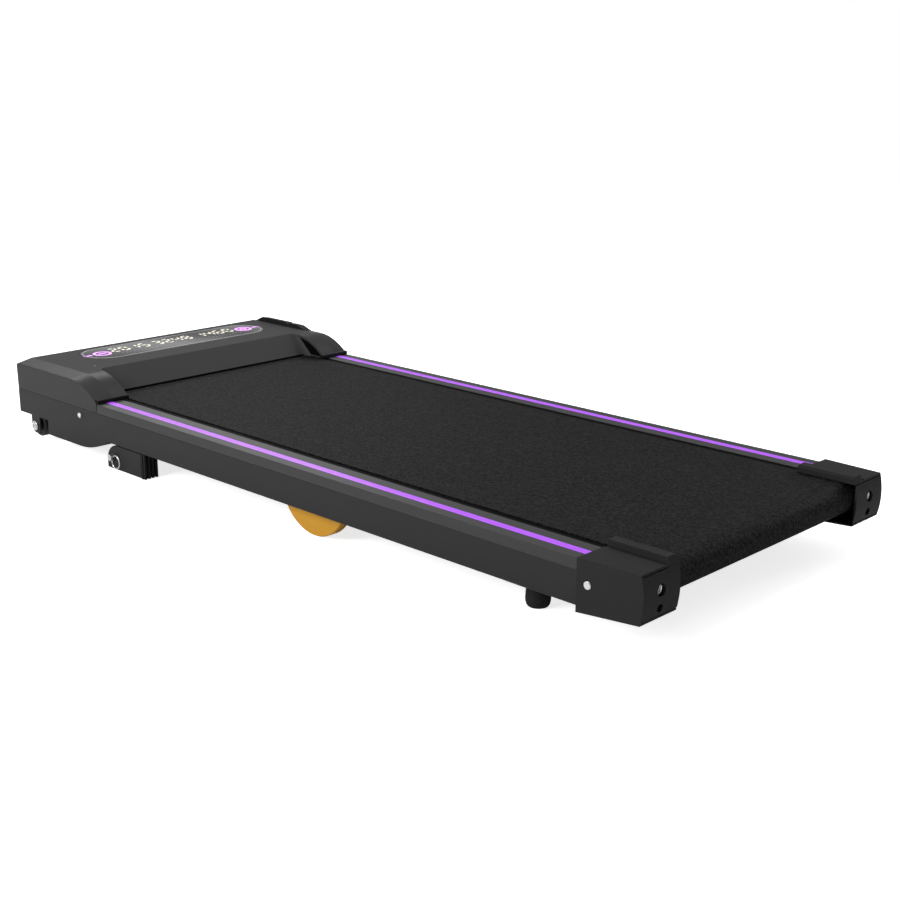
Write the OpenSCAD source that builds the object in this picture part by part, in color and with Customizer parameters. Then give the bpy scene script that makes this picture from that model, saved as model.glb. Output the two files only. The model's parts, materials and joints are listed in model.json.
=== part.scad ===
// Walking pad: a low powered treadmill without handrails.
// Millimetres. The origin is on the floor under the middle of the machine.
// +Y points forward to the motor hood, +X to the walker's right, +Z up.
// The scale and proportions were worked out from one photograph.

/* [Overall] */
// Length from the front face to the rear of the end caps
overall_l = 1204; // [1160:2:1300]
// Width over the outer faces of the side members
frame_w = 487.2; // [470:0.4:520]
// Height of the belt and of the foot rails above the floor
tread_z = 92; // [90:0.5:100]
// Height of the flat underside of the side members
under_z = 39; // [37.5:0.5:41]

/* [Side members] */
// Thickness of the pressed steel plate
plate_t = 2; // [1.5:0.1:2.5]
// Width of the flanges, from the outer face inwards
flange_w = 35.6; // [30:0.2:36]
// Bend radius of the lower flange
bend_r = 3; // [2.5:0.1:5]
// Height of the belly of the motor bay above the floor
belly_z = 19.5; // [16:0.5:24]
// Radius of the curve at the rear of the belly
belly_r = 145; // [100:5:160]
// Height of the short raised edge at the front
nose_z = 40.6; // [39:0.2:44]
// Length of the raised edge and the wheel notch, from the front face
nose_l = 81; // [76:1:95]
// Distance of the end of the belly curve from the front face
belly_l = 170; // [150:2:180]

/* [Foot rails] */
// Height of the tilted outer band of a foot rail
band_h = 13; // [11:0.5:15]
// How far the band leans inwards at the top
band_lean = 1.2; // [0.4:0.1:2]
// Width of a foot rail over its outer band
rail_w = 43.6; // [42:0.2:46]
// Wall of the foot rail section
rail_t = 2.4; // [2.2:0.1:2.8]
// Width of the coloured inlay
strip_w = 10.9; // [8:0.1:13]
// Depth of the coloured inlay
strip_t = 1.4; // [1:0.1:1.5]
// Distance of the inlay from the outer edge of the top face
strip_in = 15; // [13:0.5:16.5]

/* [Deck and belt] */
// Distance of the running belt's edges from the outer faces of the side members
belt_side = 55.1; // [53.5:0.1:60]
// Thickness of the running belt
belt_t = 1.7; // [1.4:0.1:2]
// Thickness of the deck board
deck_t = 15; // [12:1:16]
// Height of the rubber deck cushions
cushion_h = 6; // [4:0.5:7]
// Side length of a deck cushion
cushion_w = 30; // [24:1:34]
// Height of the cross tubes
tube_h = 14; // [11:0.5:14.5]
// Width of the cross tubes
tube_w = 40; // [36:1:50]
// Wall of the cross tubes
tube_wall = 1.5; // [1.2:0.1:2]
// Number of cross tubes
tube_n = 3; // [2:1:5]

/* [Rollers] */
// Outer diameter of both rollers
roller_d = 36; // [34:0.5:37]
// Wall of the roller tubes
roller_wall = 3; // [2.5:0.25:4]
// Diameter of the fixed roller axles
axle_d = 9; // [8:0.5:9]
// Outer diameter of the roller bearings
bearing_d = 26; // [24:0.5:26]
// Diameter of the tension bolts' threads
tension_d = 5; // [4:0.5:5.5]
// Width of the roller bearings
bearing_w = 8; // [7:0.5:9]
// Distance of the rear roller's axis from the rear end
rear_roller_in = 25.7; // [25:0.1:28]
// Distance of the front roller's axis from the front face
front_roller_in = 138; // [134:1:142]
// Diameter of the pulley on the front roller
pulley_d = 54; // [50:1:56]
// Diameter of the pulley on the motor
motor_pulley_d = 24; // [20:1:28]
// Width of the toothless ribbed drive belt
drive_w = 10; // [8:0.5:11]
// Thickness of the drive belt
drive_t = 2.2; // [1.8:0.1:3]
// Number of ribs on the drive belt and grooves on its pulleys
rib_n = 4; // [3:1:5]

/* [Motor and electrics] */
// Diameter of the motor
motor_d = 68; // [60:1:70]
// Length of the motor's can
motor_l = 140; // [110:1:145]
// Distance of the motor's axis from the front face
motor_in = 60; // [55:1:60]
// Distance of the pan's lowest front edge from the front face
chin_in = 42; // [36:1:48]
// Height of the motor's axis
motor_z = 66; // [64:0.5:70]
// Diameter of the motor shaft
shaft_d = 10; // [8:0.5:12]
// Length of the controller board
board_l = 140; // [120:1:150]
// Width of the controller board
board_w = 66; // [60:1:68]
// Number of fins on the controller's heat sink
fin_n = 9; // [5:1:11]
// Width of the mains inlet's opening
inlet_w = 25; // [24:0.5:26]
// Height of the mains inlet's opening
inlet_h = 17; // [16.5:0.5:18]
// Distance of the mains inlet from the outer face of the left side member
inlet_side = 93.6; // [70:1:100]
// Distance between the middles of the mains inlet and the rocker switch
switch_off = 52; // [42:1:70]
// Width of the rocker
rocker_w = 13; // [10:0.5:15]
// Height of the rocker
rocker_h = 21; // [18:0.5:22]
// Travel of the rocker in degrees
rocker_angle = 14; // [8:1:16]

/* [Motor hood] */
// Height of the hood's top over the tread
hood_rise = 32; // [31:0.5:36]
// Wall of the moulded hood
hood_wall = 2.6; // [2.4:0.1:3.2]
// Distance of the chamfer's ridge from the side
chamfer_w = 26; // [20:0.5:28]
// How far the chamfer falls from the ridge to the side
chamfer_drop = 5; // [3:0.5:6]
// Distance of the top of the sloped rear face from the front face
slope_top_in = 145; // [140:1:150]
// Distance of the foot of the sloped rear face from the front face
slope_foot_in = 179; // [174:1:186]
// Distance of the shoulders' ends from the front face
arm_end_in = 223.5; // [216:0.5:228]
// Radius of the shoulders' rounded backs
arm_r = 100; // [95:1:110]
// Width of the hood's shoulders
arm_w = 53.6; // [52.6:0.2:54.6]
// Radius of the fillet between the slope and a shoulder
slope_fillet = 12; // [8:0.5:15]
// Radius of the rounding along the front top edge
brow_r = 4; // [3:0.5:8]

/* [Display] */
// Length of the display lens
lens_l = 345; // [300:1:350]
// Width of the display lens
lens_w = 82; // [70:1:84]
// Thickness of the display lens
lens_t = 2; // [1.6:0.1:2.1]
// Distance of the lens's middle from the front face
lens_in = 56; // [52:1:58]
// Offset of the lens's middle towards the walker's right
lens_x = 14.5; // [0:0.5:16]
// Diameter of the receiver window
receiver_d = 5; // [4:0.5:8]

/* [End caps] */
// Length of an end cap
cap_l = 82.4; // [78:0.2:88]
// How far an end cap stands out over the side member at its front
cap_over = 4.4; // [4.1:0.1:5.4]
// Width of an end cap from its outer face to its inner end
cap_wide = 67.5; // [64:0.5:68]
// Wall of the moulded end caps
cap_wall = 2.4; // [2.2:0.1:2.6]
// How far an end cap narrows towards the rear, on its outer side
cap_taper = 5; // [3.5:0.1:5]
// Height of the cap's top over the tread
cap_rise = 3; // [2.8:0.1:4]
// Height of the inner ridge over the cap's top
ridge_h = 6.7; // [4:0.1:8]
// Width of the inner ridge
ridge_w = 16; // [12:0.5:18]
// Width of the groove beside the ridge
groove_w = 6; // [4:0.5:8]
// How far the rear face bulges
bulge = 4; // [2.5:0.5:5]
// Distance of the tension bolts from the outer faces of the side members
bolt_side = 30.6; // [28.6:0.2:31.6]
// Diameter of the access hole for the tension bolt
access_d = 14; // [13.6:0.2:15]
// Diameter of the lower hole
lower_hole_d = 10; // [8:0.5:11]

/* [Wheels, feet and bumpers] */
// Diameter of the transport wheels
wheel_d = 36; // [30:1:36]
// Width of the wheels' tyres
wheel_w = 14; // [11:0.5:15]
// Distance of the wheels' axis from the front face
wheel_in = 45; // [44:0.5:47]
// Height of the wheels' axis
wheel_z = 27; // [26:0.5:30]
// Half width and end radius of the wheel bracket
wheel_tab_r = 12; // [11:0.5:13]
// Diameter of the wheel bolts
wheel_bolt_d = 8; // [6:0.5:9]
// Diameter of a rear foot
foot_d = 29; // [24:1:34]
// Height of a rear foot's rubber
foot_h = 25; // [20:0.5:28]
// Distance of the rear feet from the rear end
foot_in = 175; // [150:1:240]
// Distance of the rear feet from the outer faces of the side members
foot_side = 45.6; // [40.6:0.5:51.6]
// Radius of the half-moon bumpers
bumper_r = 62; // [50:1:70]
// Thickness of the half-moon bumpers
bumper_t = 15; // [10:0.5:18]
// Distance of the bumpers' middle from the rear end
bumper_in = 525; // [450:1:600]
// Free height between the bumpers and the floor
bumper_lift = 1; // [0.5:0.5:4]

/* [Incline legs] */
// Width of a leg
leg_w = 25; // [22:0.5:26]
// Length of a leg from its front face to its rubber end
leg_l = 85; // [75:1:100]
// Wall of a leg
leg_t = 2.5; // [2:0.1:3]
// Distance of the legs' pivots from the front face
leg_in = 262; // [258:1:300]
// Height of the legs' pivots
leg_z = 12; // [11.5:0.5:13]
// Radius of a leg's rounded front
leg_r = 25; // [22:0.5:25]
// Range of the legs in degrees
leg_angle = 90; // [80:1:90]
// Length of the rubber end
tip_l = 8; // [6:0.5:12]
// Number of ribs on the rubber end
tip_ribs = 4; // [3:1:6]
// Diameter of the pivot bolts
pivot_d = 8; // [6:0.5:8]
// Diameter of the lock pin's shank
pin_d = 6.4; // [5:0.2:6.6]
// Diameter of the lock pin's head
pin_head_d = 9.8; // [9.6:0.2:11]
// Thickness of the lock pin's head
pin_head_t = 7; // [6.8:0.1:7.4]
// Distance of the lock pin in front of the pivot
pin_fwd = 9; // [8.5:0.5:10]
// Height of the lock pin above the pivot
pin_up = 7; // [6.5:0.5:8]
// Travel of the lock pin
pin_travel = 6; // [5:0.5:7]
// Mean radius of the pull ring
ring_r = 9.5; // [9:0.5:10]
// Diameter of the pull ring's wire
wire_d = 1.8; // [1.4:0.1:1.8]

/* [Right shoulder strip] */
// Height of the strip over the shoulder
grip_h = 8; // [4:0.5:10]
// Width of the strip
grip_w = 17; // [12:0.5:19]
// Distance of the strip's inner edge from the chamfer's ridge
grip_off = 5.5; // [3:0.5:6]
// Distance of the strip's front end from the front face
grip_front_in = 5; // [4:0.5:10]
// Distance of the strip's rear end from the front face
grip_rear_in = 138; // [130:1:142]
// Distance of the strip's notch from the front face
grip_notch_in = 92; // [70:1:100]
// Depth of the notch
grip_notch = 3.4; // [1:0.2:3.6]
// Length of the slope at the strip's front end
grip_ramp = 16; // [10:1:24]

/* [Fits] */
// Gap between a moving piece and what it passes
gap = 0.3; // [0.25:0.05:0.4]
// Running clearance of a round fit, per side
run = 0.05; // [0.02:0.01:0.08]

/* [Hidden] */

// Colours as the photograph shows them
black_steel = "#2b2c2e";
black_plastic = "#303134";
hood_grey = "#3b3c3f";
rubber_black = "#1c1c1d";
belt_black = "#232324";
steel = "#b9bcc0";
amber = "#c08f2d";
lilac = "#cf82ff";
board_green = "#2f6b45";

// Ends and side faces
front_y = overall_l / 2;
rear_y = -overall_l / 2;
side_x = frame_w / 2;
belt_w = frame_w - 2 * belt_side;
cap_w = frame_w + 2 * cap_over;
arm_in_x = side_x - arm_w;
bolt_x = side_x - bolt_side;
foot_x = side_x - foot_side;
inlet_x = inlet_side - side_x;
switch_x = inlet_x + switch_off;
web_x = side_x - plate_t;
flange_x = side_x - flange_w;
well_x = side_x - 37;
eps = 0.01;
cut = 2;

// Heights
rail_top = tread_z - band_h;
flange_under = rail_top - plate_t;
deck_top = tread_z - belt_t - gap;
deck_under = deck_top - deck_t;
tube_top = deck_under - cushion_h;
belt_r = roller_d / 2 + gap + belt_t;
axle_z = tread_z - belt_r;
hood_top = tread_z + hood_rise;

// Stations along the machine
rear_roller_y = rear_y + rear_roller_in;
front_roller_y = front_y - front_roller_in;
cap_front_y = rear_y + cap_l;
member_rear_y = cap_front_y - 20.4;
belly_y = front_y - belly_l;
nose_y = front_y - nose_l;
// Where the belly's curve meets the flat underside
curve_run = sqrt(pow(belly_r, 2) - pow(belly_r - (under_z - belly_z), 2));
belly_rear_y = belly_y - curve_run;
wheel_y = front_y - wheel_in;
motor_y = front_y - motor_in;
arm_end_y = front_y - arm_end_in;
slope_top_y = front_y - slope_top_in;
slope_foot_y = front_y - slope_foot_in;
lens_y = front_y - lens_in;
leg_y = front_y - leg_in;
foot_y = rear_y + foot_in;
bumper_y = rear_y + bumper_in;
side_screw_y = belly_y - 6;
side_screw_z = rail_top - 11;
cap_screw_y = cap_front_y - 14;

// Rollers and drive
roller_end_x = belt_w / 2 + 1.5;
bearing_r = bearing_d / 2;
pulley_in_x = roller_end_x + 2;
pulley_w = drive_w + 2;
drive_x = pulley_in_x + 1;
groove_pitch = drive_w / (rib_n + 1);
pulley_span = sqrt(pow(motor_y - front_roller_y, 2) + pow(motor_z - axle_z, 2));
pulley_turn = atan2(motor_z - axle_z, motor_y - front_roller_y);
deck_w = 2 * (flange_x - 2);
deck_rear_y = rear_roller_y + roller_d / 2 + 6.3;
deck_front_y = front_roller_y - pulley_d / 2 - drive_t - 3.8;
foot_rail_front_y = deck_front_y - 3;
lip_front_y = arm_end_y + 2.5;

// Extrudes a side outline (Y, Z) along X, or a cross-section (X, Z) along Y
module along_x(x0, x1) {
    translate([x0, 0, 0]) rotate([90, 0, 90]) linear_extrude(x1 - x0) children();
}
module along_y(y0, y1) {
    translate([0, y1, 0]) rotate([90, 0, 0]) linear_extrude(y1 - y0) children();
}
module box(low, high) {
    translate(low) cube(high - low);
}
// Rectangle between two corners
module plate(low, high) {
    translate(low) square(high - low);
}
// Round bar or hole along X or Y
module bar_x(x0, x1, at, r) {
    translate([x0, at[0], at[1]]) rotate([0, 90, 0]) cylinder(h = x1 - x0, r = r, $fn = 48);
}
module bar_y(y0, y1, at, r) {
    translate([at[0], y1, at[1]]) rotate([90, 0, 0]) cylinder(h = y1 - y0, r = r, $fn = 48);
}
// Both sides of something drawn on the walker's right
module both_sides() {
    children();
    mirror([1, 0, 0]) children();
}
module on_left() {
    mirror([1, 0, 0]) children();
}

// Side outline of the machine's lower edge in the motor bay
module belly_outline(lift, top) {
    intersection() {
        translate([belly_y, belly_z + belly_r]) circle(r = belly_r - lift, $fn = 180);
        plate([belly_rear_y + lift, belly_z], [belly_y, top]);
    }
    plate([belly_y - eps, belly_z + lift], [nose_y - lift, top]);
}
module member_outline() {
    plate([member_rear_y, under_z + bend_r], [front_y, rail_top]);
    plate([belly_rear_y - 4, under_z], [nose_y, rail_top]);
    belly_outline(0, under_z + bend_r + 1);
    plate([wheel_y - wheel_tab_r, wheel_z], [wheel_y + wheel_tab_r, nose_z + 5]);
    translate([wheel_y, wheel_z]) circle(r = wheel_tab_r, $fn = 64);
}
// Lower bend and flange as a cross-section on the right side
module lower_flange_section() {
    difference() {
        union() {
            translate([side_x - bend_r, under_z + bend_r]) circle(r = bend_r, $fn = 48);
            plate([flange_x, under_z], [side_x - bend_r, under_z + plate_t]);
            plate([web_x, under_z + bend_r], [side_x, under_z + 2 * bend_r]);
        }
        translate([side_x - bend_r, under_z + bend_r]) circle(r = bend_r - plate_t, $fn = 32);
        plate([flange_x, under_z + plate_t], [side_x - bend_r, under_z + 3 * bend_r]);
        plate([flange_x, under_z + bend_r], [web_x, under_z + 3 * bend_r]);
    }
}
front_lug_r = 14;
front_lug_x = web_x - 19;
side_screw_shank = 5;
module side_member() {
    color(black_steel) difference() {
        union() {
            along_x(web_x, side_x) difference() {
                member_outline();
                plate([nose_y, 0], [wheel_y - wheel_tab_r, nose_z]);
                plate([wheel_y + wheel_tab_r, 0], [front_y + cut, nose_z]);
                plate([member_rear_y - cut, under_z - cut], [belly_rear_y - 4, under_z + bend_r]);
            }
            along_y(member_rear_y, belly_rear_y - 4) lower_flange_section();
            box([flange_x, member_rear_y, flange_under], [side_x, front_y - hood_wall, rail_top]);
            front_axle_lug();
        }
        bar_x(front_lug_x - cut, front_lug_x + 3 + cut, [front_roller_y, axle_z], axle_d / 2 + run);
        bar_x(web_x - cut, side_x + cut, [wheel_y, wheel_z], wheel_bolt_d / 2 + run);
        bar_x(web_x - cut, side_x + cut, [side_screw_y, side_screw_z], side_screw_shank / 2 + run);
        bar_x(web_x - cut, side_x + cut, [cap_screw_y, cap_screw_z], cap_shank_d / 2 + run);
    }
}
module front_axle_lug() {
    along_x(front_lug_x, front_lug_x + 3) {
        plate([front_roller_y - front_lug_r, axle_z], [front_roller_y + front_lug_r, rail_top - eps]);
        translate([front_roller_y, axle_z]) circle(r = front_lug_r, $fn = 64);
    }
}

// Cross tubes at even steps between the ends of the deck
tube_first_y = rear_y + 134;
tube_last_y = belly_rear_y - 24;
function tube_y(i) = tube_first_y + i * (tube_last_y - tube_first_y) / (tube_n - 1);
module cross_tubes() {
    color(black_steel) for (i = [0:tube_n - 1]) {
        along_x(-web_x, web_x) translate([tube_y(i), tube_top - tube_h]) difference() {
            plate([-tube_w / 2, 0], [tube_w / 2, tube_h]);
            plate([-tube_w / 2 + tube_wall, tube_wall], [tube_w / 2 - tube_wall, tube_h - tube_wall]);
        }
    }
}
module deck_board() {
    color("#5b4a3a") difference() {
        box([-deck_w / 2, deck_rear_y, deck_under], [deck_w / 2, deck_front_y, deck_top]);
        // The walker's edge is eased where the belt runs on to the board
        for (y = [deck_rear_y, deck_front_y]) translate([0, y, deck_top]) rotate([45, 0, 0])
            cube([deck_w + cut, 3, 3], center = true);
    }
}
module deck_cushions() {
    x = deck_w / 2 - cushion_w / 2 - 2;
    color(rubber_black) both_sides() for (i = [0:tube_n - 1]) {
        difference() {
            box([x - cushion_w / 2, tube_y(i) - cushion_w / 2, tube_top],
                [x + cushion_w / 2, tube_y(i) + cushion_w / 2, deck_under]);
            for (s = [-1, 0, 1]) box([x - cushion_w, tube_y(i) + s * cushion_w / 4 - 1.5, tube_top - cut],
                [x + cushion_w, tube_y(i) + s * cushion_w / 4 + 1.5, tube_top + cushion_h / 3]);
        }
    }
}

// Side outline of the running belt at a given distance from the rollers' axes
module belt_outline(r) {
    for (y = [rear_roller_y, front_roller_y]) translate([y, axle_z]) circle(r = r, $fn = 120);
    plate([rear_roller_y, axle_z - r], [front_roller_y, axle_z + r]);
}
module running_belt() {
    color(belt_black) along_x(-belt_w / 2, belt_w / 2) difference() {
        belt_outline(belt_r);
        belt_outline(belt_r - belt_t);
    }
}

// Foot rail: an aluminium section with an inlaid strip and a tilted outer band
rail_in_x = side_x - rail_w;
strip_out_x = side_x - band_lean - strip_in;
rail_leg_x = flange_x + 2;
module foot_rail_section() {
    top_out = side_x - band_lean;
    under = tread_z - strip_t - rail_t + 0.4;
    strip_in_x = strip_out_x - strip_w;
    polygon([[rail_in_x, tread_z], [strip_in_x, tread_z], [strip_in_x, tread_z - strip_t],
             [strip_out_x, tread_z - strip_t], [strip_out_x, tread_z], [top_out, tread_z],
             [side_x, rail_top], [side_x - rail_t, rail_top], [top_out - rail_t, under],
             [rail_leg_x + rail_t, under], [rail_leg_x + rail_t, rail_top], [rail_leg_x, rail_top],
             [rail_leg_x, deck_top + 0.4], [rail_in_x, deck_top + 0.4]]);
}
module foot_rail() {
    color(black_plastic) difference() {
        along_y(member_rear_y, foot_rail_front_y) foot_rail_section();
        box([side_x - hood_wall - gap, lip_front_y, rail_top - cut],
            [side_x + cut, front_y, tread_z + cut]);
    }
}
strip_front_y = arm_end_y + 8;
module light_strip() {
    color(lilac) box([strip_out_x - strip_w, cap_front_y - 15, tread_z - strip_t],
                     [strip_out_x, strip_front_y, tread_z]);
}

// End cap: outer wall, bulged rear wall, floor and a stepped top, open inwards and forwards
cap_top = tread_z + cap_rise;
cap_ridge_top = cap_top + ridge_h;
cap_in_x = cap_w / 2 - cap_wide;
cap_floor_front = under_z - 4.4;
cap_floor_rear = under_z + 1.2;
cap_screw_z = rail_top - 11.5;
cap_screw_head_d = 9.4;
cap_shank_d = 5;
cap_rear_z = (cap_top + cap_floor_rear) / 2;
cap_half_h = (cap_top - cap_floor_rear) / 2;
// Radius of the rear face that bulges by the wanted amount over the cap's height
bulge_r = (pow(cap_half_h, 2) + pow(bulge, 2)) / (2 * bulge);
function cap_out_x(y) = cap_w / 2 - cap_taper * (cap_front_y - y) / cap_l;
module cap_side_outline(top) {
    intersection() {
        polygon([[cap_front_y, top], [cap_front_y, cap_floor_front],
                 [rear_y + 1.5, cap_floor_rear], [rear_y - cut, cap_floor_rear + 1], [rear_y - cut, top]]);
        translate([rear_y + bulge_r, cap_rear_z]) {
            circle(r = bulge_r, $fn = 200);
            plate([0, -bulge_r], [cap_l, bulge_r]);
        }
    }
}
module cap_plan(in_x, inset, front) {
    polygon([[in_x, rear_y - cut], [cap_out_x(rear_y - cut) - inset, rear_y - cut],
             [cap_out_x(front) - inset, front], [in_x, front]]);
}
module end_cap() {
    groove_in_x = cap_in_x + ridge_w;
    groove_out_x = groove_in_x + groove_w;
    wall_y = rear_y + bulge - 0.9;
    color(black_plastic) difference() {
        intersection() {
            linear_extrude(cap_ridge_top + cut) cap_plan(cap_in_x, 0, cap_front_y);
            union() {
                along_x(cap_in_x, groove_in_x) cap_side_outline(cap_ridge_top);
                along_x(groove_in_x - eps, groove_out_x) cap_side_outline(cap_top - 0.8);
                along_x(groove_out_x - eps, cap_w / 2) cap_side_outline(cap_top);
            }
        }
        // The ridge's inner top edge is eased towards the belt
        translate([cap_in_x, rear_y - cut, cap_ridge_top]) rotate([0, 45, 0])
            cube([4, 2 * (cap_l + cut), 4], center = true);
        // Inner room for the member's end, the roller bracket and the roller
        intersection() {
            translate([0, 0, cap_floor_front]) linear_extrude(tread_z + 0.4 - cap_floor_front)
                cap_plan(cap_in_x - cut, cap_wall, cap_front_y + cut);
            along_x(cap_in_x - cut, cap_w / 2) polygon([[wall_y, cap_floor_rear + cap_wall],
                [cap_front_y + cut, cap_floor_front + cap_wall - 0.1],
                [cap_front_y + cut, tread_z + cut], [wall_y, tread_z + cut]]);
        }
        bar_y(rear_y - cut, wall_y + cut, [bolt_x, axle_z], access_d / 2);
        bar_y(rear_y - cut, wall_y + cut, [bolt_x, axle_z - 19.6], lower_hole_d / 2);
        bar_x(web_x, cap_w / 2 + cut, [cap_screw_y, cap_screw_z], cap_shank_d / 2 + run);
        bar_x(cap_out_x(cap_screw_y) - 1.4, cap_w / 2 + cut, [cap_screw_y, cap_screw_z],
              cap_screw_head_d / 2 + 0.7);
    }
}

// Bent bracket that takes the rear roller's tension bolt
bracket_t = 3;
bracket_rear_y = rear_y + 13;
bracket_out_x = web_x - gap;
module roller_bracket() {
    low = axle_z - 26;
    high = flange_under - gap;
    color(black_steel) difference() {
        union() {
            box([bolt_x - 9, bracket_rear_y, low], [bracket_out_x, bracket_rear_y + bracket_t, high]);
            box([bracket_out_x - bracket_t, bracket_rear_y, low],
                [bracket_out_x, cap_front_y + 12, high]);
        }
        bar_y(bracket_rear_y - cut, bracket_rear_y + bracket_t + cut, [bolt_x, axle_z], tension_d / 2 + run);
        bar_x(bracket_out_x - bracket_t - cut, bracket_out_x + cut, [cap_screw_y, cap_screw_z],
              cap_shank_d / 2 + run);
    }
}
axle_end_x = bolt_x + 9;
module tension_bolts() {
    color(steel) both_sides() difference() {
        union() {
            bar_y(bracket_rear_y - 7.5, bracket_rear_y, [bolt_x, axle_z], access_d / 2 - 0.6);
            bar_y(bracket_rear_y - eps, rear_roller_y + 13, [bolt_x, axle_z], tension_d / 2);
        }
        translate([bolt_x, bracket_rear_y - 3, axle_z]) rotate([90, 0, 0])
            cylinder(h = 8, r = 3, $fn = 6);
    }
}

// Rollers: tubes bored for a bearing at each end, crowned ends left plain
module roller_tube(end_x) {
    bore_r = bearing_r + run;
    rotate([0, 90, 0]) rotate_extrude($fn = 96) polygon([
        [bore_r, -roller_end_x], [roller_d / 2, -roller_end_x], [roller_d / 2, end_x], [bore_r, end_x],
        [bore_r, end_x - bearing_w], [roller_d / 2 - roller_wall - 3, end_x - bearing_w],
        [roller_d / 2 - roller_wall, end_x - bearing_w - 6],
        [roller_d / 2 - roller_wall, -roller_end_x + bearing_w + 6],
        [roller_d / 2 - roller_wall - 3, -roller_end_x + bearing_w], [bore_r, -roller_end_x + bearing_w]]);
}
pulley_out_x = pulley_in_x + pulley_w;
module rear_roller() {
    color(steel) translate([0, rear_roller_y, axle_z]) roller_tube(roller_end_x);
}
module front_roller() {
    color(steel) translate([0, front_roller_y, axle_z]) roller_tube(pulley_out_x);
}
module bearing_pair(y, end_x) {
    color("#8f9398") for (x = [-roller_end_x, end_x - bearing_w]) difference() {
        bar_x(x, x + bearing_w, [y, axle_z], bearing_r);
        bar_x(x - cut, x + bearing_w + cut, [y, axle_z], axle_d / 2 + run);
        for (e = [x - cut, x + bearing_w - 0.6]) difference() {
            bar_x(e, e + cut + 0.6, [y, axle_z], bearing_r - 2.4);
            bar_x(e - cut, e + 3 * cut, [y, axle_z], axle_d / 2 + 2);
        }
    }
}
module rear_axle() {
    color(steel) difference() {
        bar_x(-axle_end_x, axle_end_x, [rear_roller_y, axle_z], axle_d / 2);
        both_sides() bar_y(rear_roller_y - axle_d, rear_roller_y + axle_d, [bolt_x, axle_z],
                           tension_d / 2 + run);
    }
}
module front_axle() {
    end = front_lug_x + 7;
    color(steel) bar_x(-end, end, [front_roller_y, axle_z], axle_d / 2);
}

// Ribbed pulley: a turned rim with V grooves, drawn about its own axis
module grooved_rim(r, bore_r, width) {
    depth = groove_pitch * 0.45;
    rim = [for (i = [0:rib_n - 1]) let (c = 1 + groove_pitch * (i + 1))
        each [[r, c - groove_pitch / 2 + 0.3], [r - depth, c], [r, c + groove_pitch / 2 - 0.3]]];
    rotate([0, 90, 0]) rotate_extrude($fn = 96)
        polygon(concat([[bore_r, 0], [r, 0]], rim, [[r, width], [bore_r, width]]));
}
module roller_pulley() {
    color("#3a3c40") translate([pulley_in_x, front_roller_y, axle_z])
        grooved_rim(pulley_d / 2, roller_d / 2 + run, pulley_w);
}
module motor_pulley() {
    color(steel) {
        translate([pulley_in_x, motor_y, motor_z]) grooved_rim(motor_pulley_d / 2, 1, pulley_w);
        bar_x(motor_end_x - 18, pulley_in_x + 1, [motor_y, motor_z], shaft_d / 2);
        bar_x(pulley_in_x - eps, pulley_out_x, [motor_y, motor_z], shaft_d / 2);
    }
}
// Outline of a belt round two pulleys: centres a and b, radii ra and rb, arcs in small steps
function arc(c, r, from, to, n) = [for (i = [0:n]) let (t = from + (to - from) * i / n)
    c + r * [cos(t), sin(t)]];
module loop_outline(a, ra, b, rb) {
    turn = atan2(b[1] - a[1], b[0] - a[0]);
    lean = acos((ra - rb) / norm(b - a));
    polygon(concat(arc(a, ra, turn + lean, turn + 360 - lean, 60),
                   arc(b, rb, turn - lean, turn + lean, 36)));
}
module drive_belt() {
    a = [front_roller_y, axle_z];
    b = [motor_y, motor_z];
    color(rubber_black) along_x(drive_x, drive_x + drive_w) difference() {
        loop_outline(a, pulley_d / 2 + gap + drive_t, b, motor_pulley_d / 2 + gap + drive_t);
        loop_outline(a, pulley_d / 2 + gap, b, motor_pulley_d / 2 + gap);
    }
}

// Motor: can with end bells, vents and brush caps
motor_end_x = pulley_in_x - 20;
motor_start_x = motor_end_x - motor_l;
bell_l = 16;
module drive_motor() {
    at = [motor_y, motor_z];
    color("#26272a") difference() {
        union() {
            bar_x(motor_start_x + bell_l, motor_end_x - bell_l, at, motor_d / 2);
            bar_x(motor_start_x, motor_end_x, at, motor_d / 2 - 2);
            bar_x(motor_end_x - eps, motor_end_x + 4, at, shaft_d / 2 + 6);
        }
        bar_x(motor_end_x - 18.5, motor_end_x + 4 + cut, at, shaft_d / 2 + run);
        for (a = [0:45:315]) translate([motor_start_x + bell_l / 2, at[0], at[1]]) rotate([a, 0, 0])
            translate([-4, -3, motor_d / 2 - 6]) cube([8, 6, 8]);
    }
}
saddle_t = 4;
chin_y = front_y - chin_in;
pan_t = 2.2;
module motor_saddles() {
    color(black_steel) for (x = [motor_start_x + bell_l + 8, motor_end_x - bell_l - 8 - saddle_t]) {
        along_x(x, x + saddle_t) difference() {
            plate([motor_y - motor_d / 2 + 6, belly_z + pan_t], [chin_y - 1, motor_z - 8]);
            translate([motor_y, motor_z]) circle(r = motor_d / 2 + run, $fn = 96);
        }
    }
}

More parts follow.
